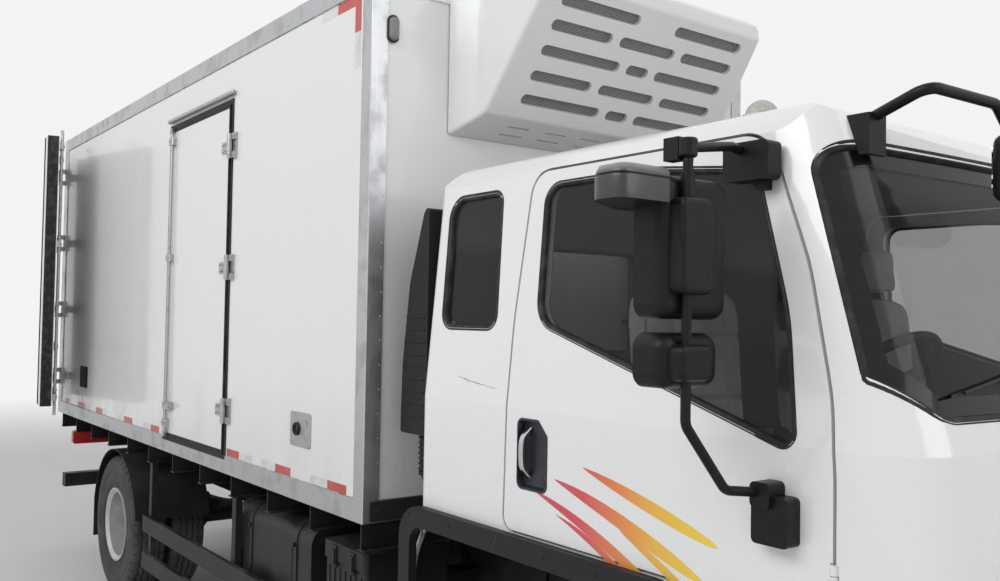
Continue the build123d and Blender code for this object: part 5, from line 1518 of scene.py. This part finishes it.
rearDoorLook = {
    "hinge": (-3.834, 1.180),
    "open": 258,
    "leaf": ((0.010, 1.079), (1.266, 3.214)),
    "ribs": [-3.808, -3.786, -3.764],
    "ribRadius": 0.0042,
    # inset, width and height of the frames round the inner face
    "lips": ((0.012, 0.030, 0.003), (0.016, 0.009, 0.008), (0.030, 0.008, 0.008)),
    "hinges": [1.4168, 1.9656, 2.5144, 3.0632],
    "bars": [0.140, 0.825],
    "guides": [1.320, 2.440, 3.160],
    "grips": ((0.305, 0.425), (0.540, 0.660)),
    "gripSection": ((-3.849, -3.833), (1.663, 1.697)),
}


def rearDoorDetails(side, look):
    x, y = look["hinge"]
    turned = Matrix.Identity(4)
    if side < 0:
        turned = (Matrix.Translation((x, -y, 0)) @ Matrix.Rotation(math.radians(look["open"]), 4, "Z")
                  @ Matrix.Translation((-x, y, 0)) @ Matrix.Scale(-1, 4, (0, 1, 0)))
    across, up = look["leaf"]
    inner = onX(-3.730)
    rubber = Shape()
    rubber.rim(across, up, -0.0018, 0.0038, (0.004, 0.003), -0.084, -0.012, inner)
    for rib in look["ribs"]:
        path = [(rib, a, b) for a, b in rectangle(across, up, 0.006, 3)]
        rubber.pipe(evenly(path, 0.12, closed=True), look["ribRadius"], 8, closed=True)
    for inset, wide, high in look["lips"]:
        rubber.rim(across, up, inset, wide, (0.02, 0.014), -0.001, high, inner)
    metal = Shape()
    metal.prism(rectangle(grown(across, -0.06), (up[0] + 0.06, up[0] + 0.36), 0.008), -0.001, 0.0016, inner)
    for number, z in product(range(9), (up[0] + 0.075, up[0] + 0.345)):
        along = across[0] + 0.08 + number * (across[1] - across[0] - 0.16) / 8
        metal.rivet((-3.7284, along, z), ahead, 0.0045, 0.0018)
    for height, a, b in product(look["hinges"], (0.962, 1.002, 1.042), (-0.017, 0.017)):
        metal.bolt((-3.828, a, height + b), behind, 0.0065, 0.0055)
    for a, b, aside in product(look["bars"], look["guides"], (-0.020, 0.020)):
        metal.bolt((-3.851, a + aside, b), behind, 0.0048, 0.0045)
    grip = Shape()
    onGrip = onY(0)
    section = look["gripSection"]
    for low, high in look["grips"]:
        grip.prism(rectangle(*section, 0.006, 3), low, high, onGrip)
        for step in range(5):
            spot = low + 0.02 + step * (high - low - 0.04) / 4
            ring = rectangle(*[grown(span, 0.0013) for span in section], 0.006, 3)
            grip.prism(ring, spot - 0.004, spot + 0.004, onGrip)
    for shape, name, finish, slot in ((rubber, "rearDoorSeal", sealRubber, "black_rubber"),
                                      (metal, "rearDoorBolts", stainless, "stainless"),
                                      (grip, "rearDoorGrips", blackPlastic, "black_rubber")):
        shape.points = [turned @ point for point in shape.points]
        shape.make(name + sideTitle[side], finish, "rear_door_" + sideName[side], slot)


for side in bothSides:
    rearDoorDetails(side, rearDoorLook)
print("rear doors")


# Side door: the lip of its seal, hinge bolts, the plate behind its handle

sideDoorLook = {
    "leaf": ((-1.080, -0.140), (1.225, 3.045)),
    # inset, width and height of the lip's three steps
    "lips": ((-0.0105, 0.021, 0.0022), (-0.0080, 0.0050, 0.0052), (0.0020, 0.0050, 0.0046)),
    "hinges": [1.4434, 2.1896, 2.8266],
    "handle": (-1.025, 1.400),
    "guides": [1.295, 2.275, 2.975],
}


def sideDoorDetails(look):
    lip = Shape()
    for inset, wide, high in look["lips"]:
        lip.rim(*look["leaf"], inset, wide, (0.012, 0.008), -0.004, high, onY(-boxSide, -1))
    lip.make("sideDoorSeal", sealRubber, "side_door", "black_rubber")
    metal = Shape()
    fixed = Shape()
    for height in look["hinges"]:
        for a, b in product((-0.218, -0.188, -0.158), (-0.017, 0.017)):
            metal.bolt((a, -1.158, height + b), toRight, 0.006, 0.005)
        for b in (-0.050, 0.050):
            fixed.bolt((-0.064, -1.160, height + b), toRight, 0.006, 0.005)
    a, b = look["handle"]
    for height, aside in product(look["guides"], (-0.018, 0.018)):
        metal.bolt((a + aside, -1.178, height), toRight, 0.0045, 0.004)
    metal.lathe([(0, 0.013), (0.004, 0.013), (0.006, 0.010), (0.006, 0.003)], (a + 0.012, -1.175, b + 0.012),
                toRight, 20)
    metal.lathe([(0, 0.0085), (0.005, 0.0085), (0.007, 0.006)], (a + 0.098, -1.181, b), toRight, 16)
    metal.make("sideDoorBolts", stainless, "side_door", "stainless")
    fixed.make("sideHingeBolts", stainless, "chassis", "stainless")


sideDoorDetails(sideDoorLook)
print("side door")


# Front wall: the unit's pipes and cables, and the strip across the foot of the wall

wallLook = {
    # y, radius
    "pipes": ((0.300, 0.017), (0.345, 0.013), (0.385, 0.010)),
    "clips": (2.60, 0.33, 5),        # highest, pitch, count
    "strip": ((-1.118, 1.118), (1.126, 1.206)),
    "stripBolts": 12,
}


def unitPipes(look):
    pipes = Shape()
    for y, radius in look["pipes"]:
        pipes.pipe(evenly([(1.386, y, 2.74), (1.386, y, 1.16)], 0.4), radius, 12)
        pipes.pipe(evenly([(1.386, y, 1.17), (1.330, y, 1.02), (1.20, y, 1.00)], 0.05), radius, 12)
    top, pitch, count = look["clips"]
    for number in range(count):
        z = top - number * pitch
        pipes.block((1.360, 1.368), (0.262, 0.418), (z - 0.012, z + 0.012))
        pipes.block((1.400, 1.405), (0.270, 0.410), (z - 0.010, z + 0.010))
    pipes.make("unitPipes", sealRubber, "chassis", "black_rubber")


def frontStrip(look):
    shape = Shape()
    shape.prism(rectangle(*look["strip"], 0.006, 3), 0, 0.009, onX(boxFront))
    for number in range(look["stripBolts"]):
        y = -1.08 + number * 2.16 / (look["stripBolts"] - 1)
        shape.bolt((boxFront + 0.009, y, 1.166), ahead, 0.0075, 0.005)
    shape.make("frontStrip", blackRubber, "chassis", "black_rubber")


unitPipes(wallLook)
print("refrigeration unit")
frontStrip(wallLook)


# Chassis: bolts at the cross members, U-bolts over the springs, strap bolts, caps, lid catches

chassisLook = {
    "rail": 0.400,
    # x, rows of bolts
    "bolts": [(-3.64, 2), (-2.79, 3), (-1.61, 3), (-0.14, 2), (1.06, 2), (1.63, 2), (3.44, 2)],
    # x, y, low, high
    "uBolts": [(2.49, 0.425, 0.36, 0.620), (-2.23, 0.530, 0.395, 0.690)],
    "uBoltHalf": 0.043,
}


def chassisDetails(look):
    shape = Shape()
    rail = look["rail"]
    for side in bothSides:
        out = (0, side, 0)
        for x, rows in look["bolts"]:
            for column, row in product((-0.035, 0.035), range(rows)):
                z = 0.735 + row * (0.090 if rows == 2 else 0.045)
                shape.bolt((x + column, side * rail, z), out, 0.010, 0.009)
        for number in range(9):
            x = -3.2 + number * 0.52
            shape.block((x - 0.035, x + 0.035), mirrored(side, rail, rail + 0.008), (0.800, 0.930))
            for a, b in ((-0.018, 0.825), (0.018, 0.825), (-0.018, 0.910), (0.018, 0.910)):
                shape.bolt((x + a, side * (rail + 0.008), b), out, 0.008, 0.007)
    shape.make("frameBolts", chassisPaint, "chassis", "chassis_paint")


def springDetails(look):
    shape = Shape()
    half = look["uBoltHalf"]
    for (x, y, low, high), side in product(look["uBolts"], bothSides):
        middle = side * y
        for along in (x - 0.036, x + 0.036):
            bend = ((-half, low), (-half, high - 0.02), (-half * 0.6, high), (half * 0.6, high),
                    (half, high - 0.02), (half, low))
            shape.pipe([(along, middle + aside, z) for aside, z in bend], 0.0075, 8)
            for aside in (-half, half):
                shape.bolt((along, middle + aside, low + 0.016), (0, 0, -1), 0.013, 0.014)
        shape.block(grown((x, x), 0.06), grown((middle, middle), 0.058), (low + 0.018, low + 0.034))
    shape.make("springBolts", chassisPaint, "chassis", "chassis_paint")


def tankDetails():
    shape = Shape()
    for x in (0.05, 0.57):
        for edge in (-0.022, 0.022):
            shape.block(grown((x + edge, x + edge), 0.003), (-1.0662, -1.0636), (0.66, 0.87))
        shape.bolt((x, -1.064, 0.655), toRight, 0.010, 0.010)
        shape.bolt((x, -1.064, 0.875), toRight, 0.010, 0.010)
    cap = Vector((0.68, -0.95, 1.009))
    shape.lathe([(0, 0.044), (0.006, 0.046), (0.024, 0.046), (0.030, 0.042), (0.032, 0.020)], cap, steps=36)
    for a, b in circle(12, 0.046):
        shape.lathe([(-0.010, 0.0045), (0.010, 0.0045)], cap + Vector((a, b, 0.015)), steps=8)
    shape.lathe([(0, 0.020), (0.010, 0.020), (0.014, 0.014), (0.020, 0.014)], (0.40, -0.83, 0.985), steps=20)
    shape.pipe([(0.40, -0.83, 1.0), (0.40, -0.80, 1.02), (0.38, -0.60, 1.0), (0.36, -0.42, 0.90)], 0.006, 8)
    for x in (0.98, 1.14):
        shape.block((x - 0.022, x + 0.022), (-1.0740, -1.0675), (0.862, 0.955))
        shape.block((x - 0.014, x + 0.014), (-1.0800, -1.0735), (0.875, 0.940))
    for number in range(7):
        x = 0.92 + number * 0.047
        shape.block((x - 0.006, x + 0.006), (-1.0638, -1.0600), (0.60, 0.86))
    shape.make("tankDetails", tankBlack, "chassis", "tank_black", bevel=0.0008)


def stayPipe():
    # bright bent tube from the side member up to the end of the cab's flare
    path = [(1.450, -0.410, 0.780), (1.455, -0.600, 0.790), (1.470, -0.860, 0.800), (1.480, -0.960, 0.830),
            (1.490, -0.990, 0.890), (1.520, -1.005, 0.990), (1.562, -1.010, 1.070), (1.600, -1.012, 1.128)]
    smooth = bpy.data.curves.new("stay", "CURVE")
    smooth.dimensions = "3D"
    line = smooth.splines.new("NURBS")
    line.points.add(len(path) - 1)
    for point, spot in zip(line.points, path):
        point.co = (*spot, 1)
    line.order_u = 3
    line.use_endpoint_u = True
    holder = bpy.data.objects.new("stay", smooth)
    bpy.context.scene.collection.objects.link(holder)
    points = [vertex.co.copy() for vertex in applied(holder).vertices]
    bpy.data.objects.remove(holder)
    shape = Shape()
    shape.pipe(evenly(points, 0.02), 0.011, 16)
    shape.lathe([(0, 0.020), (0.006, 0.020), (0.010, 0.016), (0.020, 0.013)], (1.450, -0.401, 0.780),
                toRight, 20)
    shape.lathe([(-0.004, 0.013), (0, 0.017), (0.012, 0.017)], path[-1], (0.3, 0, 1), 20)
    shape.make("stayPipe", stainless, "chassis", "stainless")


flapLook = {
    # x, from and to across, lowest and highest point
    "flaps": ((-2.748, (0.635, 1.115), (0.31, 0.55)), (1.944, (0.62, 1.055), (0.53, 0.62))),
    "pitch": 0.03,
}


def flapRibs(look):
    shape = Shape()
    pitch = look["pitch"]
    for (x, across, up), side in product(look["flaps"], bothSides):
        for number in range(int((across[1] - across[0]) / pitch)):
            y = across[0] + 0.015 + number * pitch
            for face in (x - 0.0125, x + 0.0005):
                shape.block((face, face + 0.003), mirrored(side, y - 0.005, y + 0.005), up)
    shape.make("flapRibs", blackRubber, "chassis", "black_rubber")


chassisDetails(chassisLook)
springDetails(chassisLook)
tankDetails()
stayPipe()
flapRibs(flapLook)
print("chassis details")


# Tail lamps, headlamps and the roof beacon

lampLook = {
    # from, to across one lamp, colour
    "tail": [(0.652, 0.742, "red"), (0.750, 0.838, "white"), (0.846, 0.934, "amber"), (0.942, 1.028, "red")],
    # inset, out
    "dome": ((0, -0.001), (0.0005, 0.004), (0.004, 0.008), (0.014, 0.0105), (0.030, 0.0115)),
    "head": ((0.655, 0.070), (0.805, 0.070)),        # y, radius
    "beacon": (3.000, -0.800, 2.530),
}


def tailLamps(look):
    lenses = {"red": (Shape(), redLens, "red_lens"), "white": (Shape(), whiteLens, "clear_lens"),
              "amber": (Shape(), amberLens, "red_lens")}
    rim = Shape()
    onRear = onX(-3.800, -1)
    for side in bothSides:
        for low, high, colour in look["tail"]:
            across = mirrored(side, low, high)
            rows = []
            for inset, out in look["dome"]:
                outline = rectangle(grown(across, -inset), grown((0.862, 0.948), -inset), 0.010, 4)
                rows.append([onRear(a, b, out) for a, b in outline])
            lenses[colour][0].loft(rows)
        whole = mirrored(side, 0.642, 1.038)
        rim.rim(whole, (0.852, 0.958), 0, 0.008, (0.016, 0.010), -0.002, 0.006, onRear)
        for edge in (0.746, 0.842, 0.938):
            rim.block((-3.806, -3.799), mirrored(side, edge - 0.004, edge + 0.004), (0.858, 0.952))
    for colour, (shape, finish, slot) in lenses.items():
        shape.make("tailLens" + colour.capitalize(), finish, "chassis", slot)
    rim.make("tailLampRims", blackPlastic, "chassis", "black_plastic")


def headlamps(look):
    bowl = Shape()
    rim = Shape()
    amber = Shape()
    for side in bothSides:
        for y, radius in look["head"]:
            profile = [(0.0, radius), (-0.004, radius * 0.97), (-0.022, radius * 0.80),
                       (-0.040, radius * 0.55), (-0.050, radius * 0.30), (-0.052, 0.012), (-0.030, 0.011),
                       (-0.026, 0.004)]
            ring = [(-0.006, radius + 0.008), (0.002, radius + 0.007), (0.002, radius), (-0.006, radius)]
            bowl.lathe(profile, (3.845, side * y, 0.725), ahead, 40, capped=False)
            bowl.lathe(ring, (3.846, side * y, 0.725), ahead, 40, capped=False)
        turn = rectangle(mirrored(side, 0.888, 0.944), (0.652, 0.798), 0.014)
        amber.prism(turn, 0, 0.030, onX(3.812))
        across = mirrored(side, 0.572, 0.948)
        rim.rim(across, (0.642, 0.808), 0, 0.010, (0.018, 0.012), 0, 0.005, onX(3.866))
        rim.block((3.790, 3.800), across, (0.645, 0.805))
    bowl.make("headlampBowls", chrome, "cab", "stainless")
    amber.make("turnLamps", amberLens, "cab", "red_lens")
    rim.make("headlampRims", blackPlastic, "cab", "black_plastic")


def roofBeacon(look):
    centre = Vector(look["beacon"])
    rows = []
    for number in range(11):
        rise = math.radians(number * 8.6)
        row = []
        for step in range(96):
            turn = 2 * math.pi * step / 96
            radius = (0.0468 + 0.0007 * math.cos(24 * turn)) * math.cos(rise)      # ribbed all round
            spot = (radius * math.cos(turn), radius * math.sin(turn), 0.0475 * math.sin(rise))
            row.append(centre + Vector(spot))
        rows.append(row)
    dome = Shape()
    dome.loft(rows)
    dome.make("beaconDome", beaconLens, "cab", "clear_lens")
    base = Shape()
    base.lathe([(-0.062, 0.060), (-0.050, 0.060), (-0.046, 0.055), (-0.010, 0.054), (-0.006, 0.0560),
                (0.003, 0.0560), (0.006, 0.0490)], centre, steps=48, capped=False)
    base.lathe([(0.004, 0.026), (0.008, 0.020), (0.030, 0.014), (0.036, 0.008)], centre, steps=20)
    base.make("beaconBase", chrome, "cab", "stainless")


tailLamps(lampLook)
headlamps(lampLook)
roofBeacon(lampLook)
print("lamps")


# Cab: step treads, grille backing, slats in the bumper, flare joints, snorkel ribs and bellows

grilleLook = {
    "across": (-0.63, 1.26),         # start, whole width
    "up": (1.030, 1.312),
    "steps": 40,
    "bars": 4,
    "barSection": ((0.014, 0), (0.020, 0.002), (0.020, 0.006), (0.014, 0.006)),      # out, up
}


def stepTreads():
    shape = Shape()
    for side, level, row, column in product(bothSides, (0.454, 0.684), range(8), range(11)):
        x = 3.262 + column * 0.0295
        y = 0.812 + row * 0.033 + (0.0165 if column % 2 else 0)
        if y < 1.05:
            shape.rivet((x, side * y, level), skyward, 0.0085, 0.004)
    shape.make("stepTreads", chassisPaint, "cab", "chassis_paint")


def grilleBacking(look):
    skin = Skin("grille")
    start, whole = look["across"]
    low, high = look["up"]
    rows = []
    for z in look["up"]:
        levels = [start + step * whole / look["steps"] for step in range(look["steps"] + 1)]
        rows.append([Vector((skin.hit((4.2, y, z), behind)[0].x - 0.021, y, z)) for y in levels])
    backing = Shape()
    backing.grid(rows)
    backing.make("grilleBacking", blackPlastic, "cab", "black_plastic")
    bars = Shape()
    for number in range(look["bars"]):
        share = (1.080 + number * 0.066 - low) / (high - low)
        bars.grid([[a.lerp(b, share) + Vector((out, 0, up)) for a, b in list(zip(*rows))[2:-2]]
                   for out, up in look["barSection"]])
    bars.make("grilleBars", chrome, "cab", "stainless")


def bumperIntake():
    # black slats across the slot in the bumper
    shape = Shape()
    shape.block((3.8205, 3.8235), (-0.478, 0.478), (0.5215, 0.6185))
    for row in range(4):
        z = 0.534 + row * 0.0205
        slat = [(3.824, z), (3.862, z + 0.002), (3.862, z + 0.009), (3.824, z + 0.011)]
        shape.prism(roundedOutline(slat, 0.003, 3), -0.478, 0.478, onY(0))
    for y in (-0.32, -0.16, 0, 0.16, 0.32):
        shape.block((3.823, 3.856), (y - 0.004, y + 0.004), (0.5215, 0.6185))
    shape.make("bumperIntake", blackPlastic, "cab", "black_plastic", bevel=0.0008)


def flareDetails():
    skin = Skin("cab_steps")
    joint = Shape()
    screw = Shape()
    for side in bothSides:
        inward = (0, -side, 0)
        line = [(2.186, side * 1.2, 1.238), (2.170, side * 1.2, 1.20), (2.160, side * 1.2, 1.170)]
        skinLine(joint, skin, line, inward, 0.006, 0.0006)
        for x in (1.63, 1.90, 2.42, 2.66):
            spot = skin.hit((x, side * 1.3, 1.205), inward)
            if spot:
                screw.rivet(*spot, 0.007, 0.003)
    joint.make("flareJoints", sealRubber, "cab", "black_rubber")
    screw.make("flareScrews", blackPlastic, "cab", "black_plastic")


def snorkelDetails():
    skin = Skin("air_intake")
    shape = Shape()
    for number in range(9):
        z = 1.56 + number * 0.048
        found = [skin.hit((1.470 + 0.012 * step, -1.2, z), (0, 1, 0)) for step in range(13)]
        found = [one[0] for one in found if one and one[0].y < -1.03]
        if len(found) > 2:
            shape.pipe(found, 0.0042, 8)
    folds = [(0.012 + number * 0.020 + rise, radius) for number in range(7)
             for rise, radius in ((0, 0.044), (0.010, 0.053))]
    shape.lathe([(0, 0.044)] + folds + [(0.152, 0.044)], (1.575, -0.968, 1.335), steps=28, capped=False)
    for z in (1.340, 1.484):
        clamp = [(-0.007, 0.047), (-0.007, 0.049), (0.007, 0.049), (0.007, 0.047)]
        shape.lathe(clamp, (1.575, -0.968, z), steps=28)
    shape.make("snorkelRibs", blackRubber, "chassis", "black_plastic")


stepTreads()
grilleBacking(grilleLook)
bumperIntake()
flareDetails()
snorkelDetails()
print("cab outside")


# Cab inside: instruments, vents, switches, gear lever; glass of the front mirror

insideLook = {
    # from the dashboard's face, z
    "hood": ((-0.05, 1.690), (0.02, 1.745), (0.17, 1.735), (0.17, 1.66), (-0.01, 1.62)),
    "dials": (-0.665, -0.465),
    "vents": (-0.20, -0.06, 0.45, 0.80, -0.92),
    "mirror": ((-0.59, -0.41), (2.270, 2.410)),
}


def cabInside(look):
    black = Shape()
    bright = Shape()
    face = Skin("dashboard").hit((3.0, -0.30, 1.60), ahead)
    x = face[0].x if face else 3.38
    black.prism(roundedOutline([(x + a, b) for a, b in look["hood"]], 0.012, 4), -0.80, -0.33, onY(0))
    out = Vector((-0.86, 0, 0.30))
    for y in look["dials"]:
        centre = Vector((x - 0.030, y, 1.664))
        ring = [(0, 0.058), (0.010, 0.058), (0.012, 0.054), (0.004, 0.050)]
        bright.lathe(ring, centre, out, 36, capped=False)
        black.lathe([(0.002, 0.052), (0.003, 0.020)], centre, out, 24)
        needle = centre + out.normalized() * 0.006
        bright.pipe([needle, needle + Vector((0.01, 0.03, 0.025))], 0.0012, 6)
    for y in look["vents"]:
        black.rim((y - 0.055, y + 0.055), (1.575, 1.635), 0, 0.007, (0.010, 0.006), -0.004, 0.010,
                  onX(x, -1))
        for row in range(4):
            z = 1.588 + row * 0.0115
            black.block((x - 0.007, x + 0.002), (y - 0.048, y + 0.048), (z, z + 0.0035))
    black.block((x - 0.008, x + 0.01), (-0.235, -0.020), (1.500, 1.560))
    for number in range(5):
        spot = (x - 0.008, -0.215 + number * 0.044, 1.530)
        bright.lathe([(0, 0.008), (0.010, 0.0075), (0.012, 0.005)], spot, behind, 16)
    black.pipe([(3.20, -0.12, 1.215), (3.16, -0.12, 1.42), (3.13, -0.12, 1.56)], [0.010, 0.009, 0.008], 12)
    black.lathe([(0, 0.075), (0.02, 0.070), (0.05, 0.045), (0.09, 0.026), (0.12, 0.014)],
                (3.20, -0.12, 1.2105), steps=24)
    black.lathe([(0, 0.012), (0.010, 0.022), (0.030, 0.027), (0.046, 0.022), (0.054, 0.008)],
                (3.13, -0.12, 1.55), (-0.1, 0, 1), 24)
    black.make("dashTrim", blackPlastic, "cab", "black_plastic")
    bright.make("dashRings", chrome, "cab", "stainless")
    shape = Shape()
    shape.prism(rectangle(*look["mirror"], 0.020), 0, 0.003, onX(3.547, -1))
    shape.make("frontMirrorGlass", mirrorGlass, "cab", "mirror_plastic")


cabInside(insideLook)
print("cab inside")


# Trim inside the cab: a second skin on the shell's inner faces, dark below and paler on the roof

liningLook = {
    "gap": 0.0022,
    "floor": 1.215,
    "dark": shade(0.085, 0.085, 0.088),
    "pale": shade(0.36, 0.35, 0.33),
    "change": (2.16, 2.26),          # heights over which the dark one gives way
}


def liningFinish(look):
    finish = Finish("cabTrim", Sheen_Weight=0.15)
    grain = finish.noise(360.0, 3.0)
    high = finish.step(finish.axes()[2], *look["change"])
    finish.set(Base_Color=finish.mix(high, look["dark"], look["pale"]))
    return finish.set(Roughness=0.62 + grain * 0.14, Normal=finish.bump(grain, 0.0004))


def lining(name, sources, body, look):
    shape = Shape()
    for source in sources:
        mesh = nodes[source].data
        shift = {}
        chosen = []
        for face in mesh.polygons:
            spot = face.center
            aim = Vector((min(max(spot.x, 2.1), 3.2), 0, min(max(spot.z, 1.3), 2.1)))
            if face.normal.dot((aim - spot).normalized()) > 0.25 and spot.z > look["floor"]:
                chosen.append(tuple(face.vertices))
                for index in face.vertices:
                    shift.setdefault(index, []).append(face.normal.copy())
        order = {index: number for number, index in enumerate(shift)}
        points = []
        for index, normals in shift.items():
            total = sum(normals, Vector((0, 0, 0))).normalized()
            points.append(mesh.vertices[index].co + total * look["gap"])
        shape.add(points, [tuple(order[index] for index in face) for face in chosen])
    shape.make(name, cabTrim, body, "black_plastic")


cabTrim = liningFinish(liningLook)
lining("cabLining", ["cab_roof", "cab_back", "cab_front_panel"], "cab", liningLook)
for side in bothSides:
    door = "cab_door_" + sideName[side]
    lining("doorLining" + sideTitle[side], [door], door, liningLook)
print("cab trim")
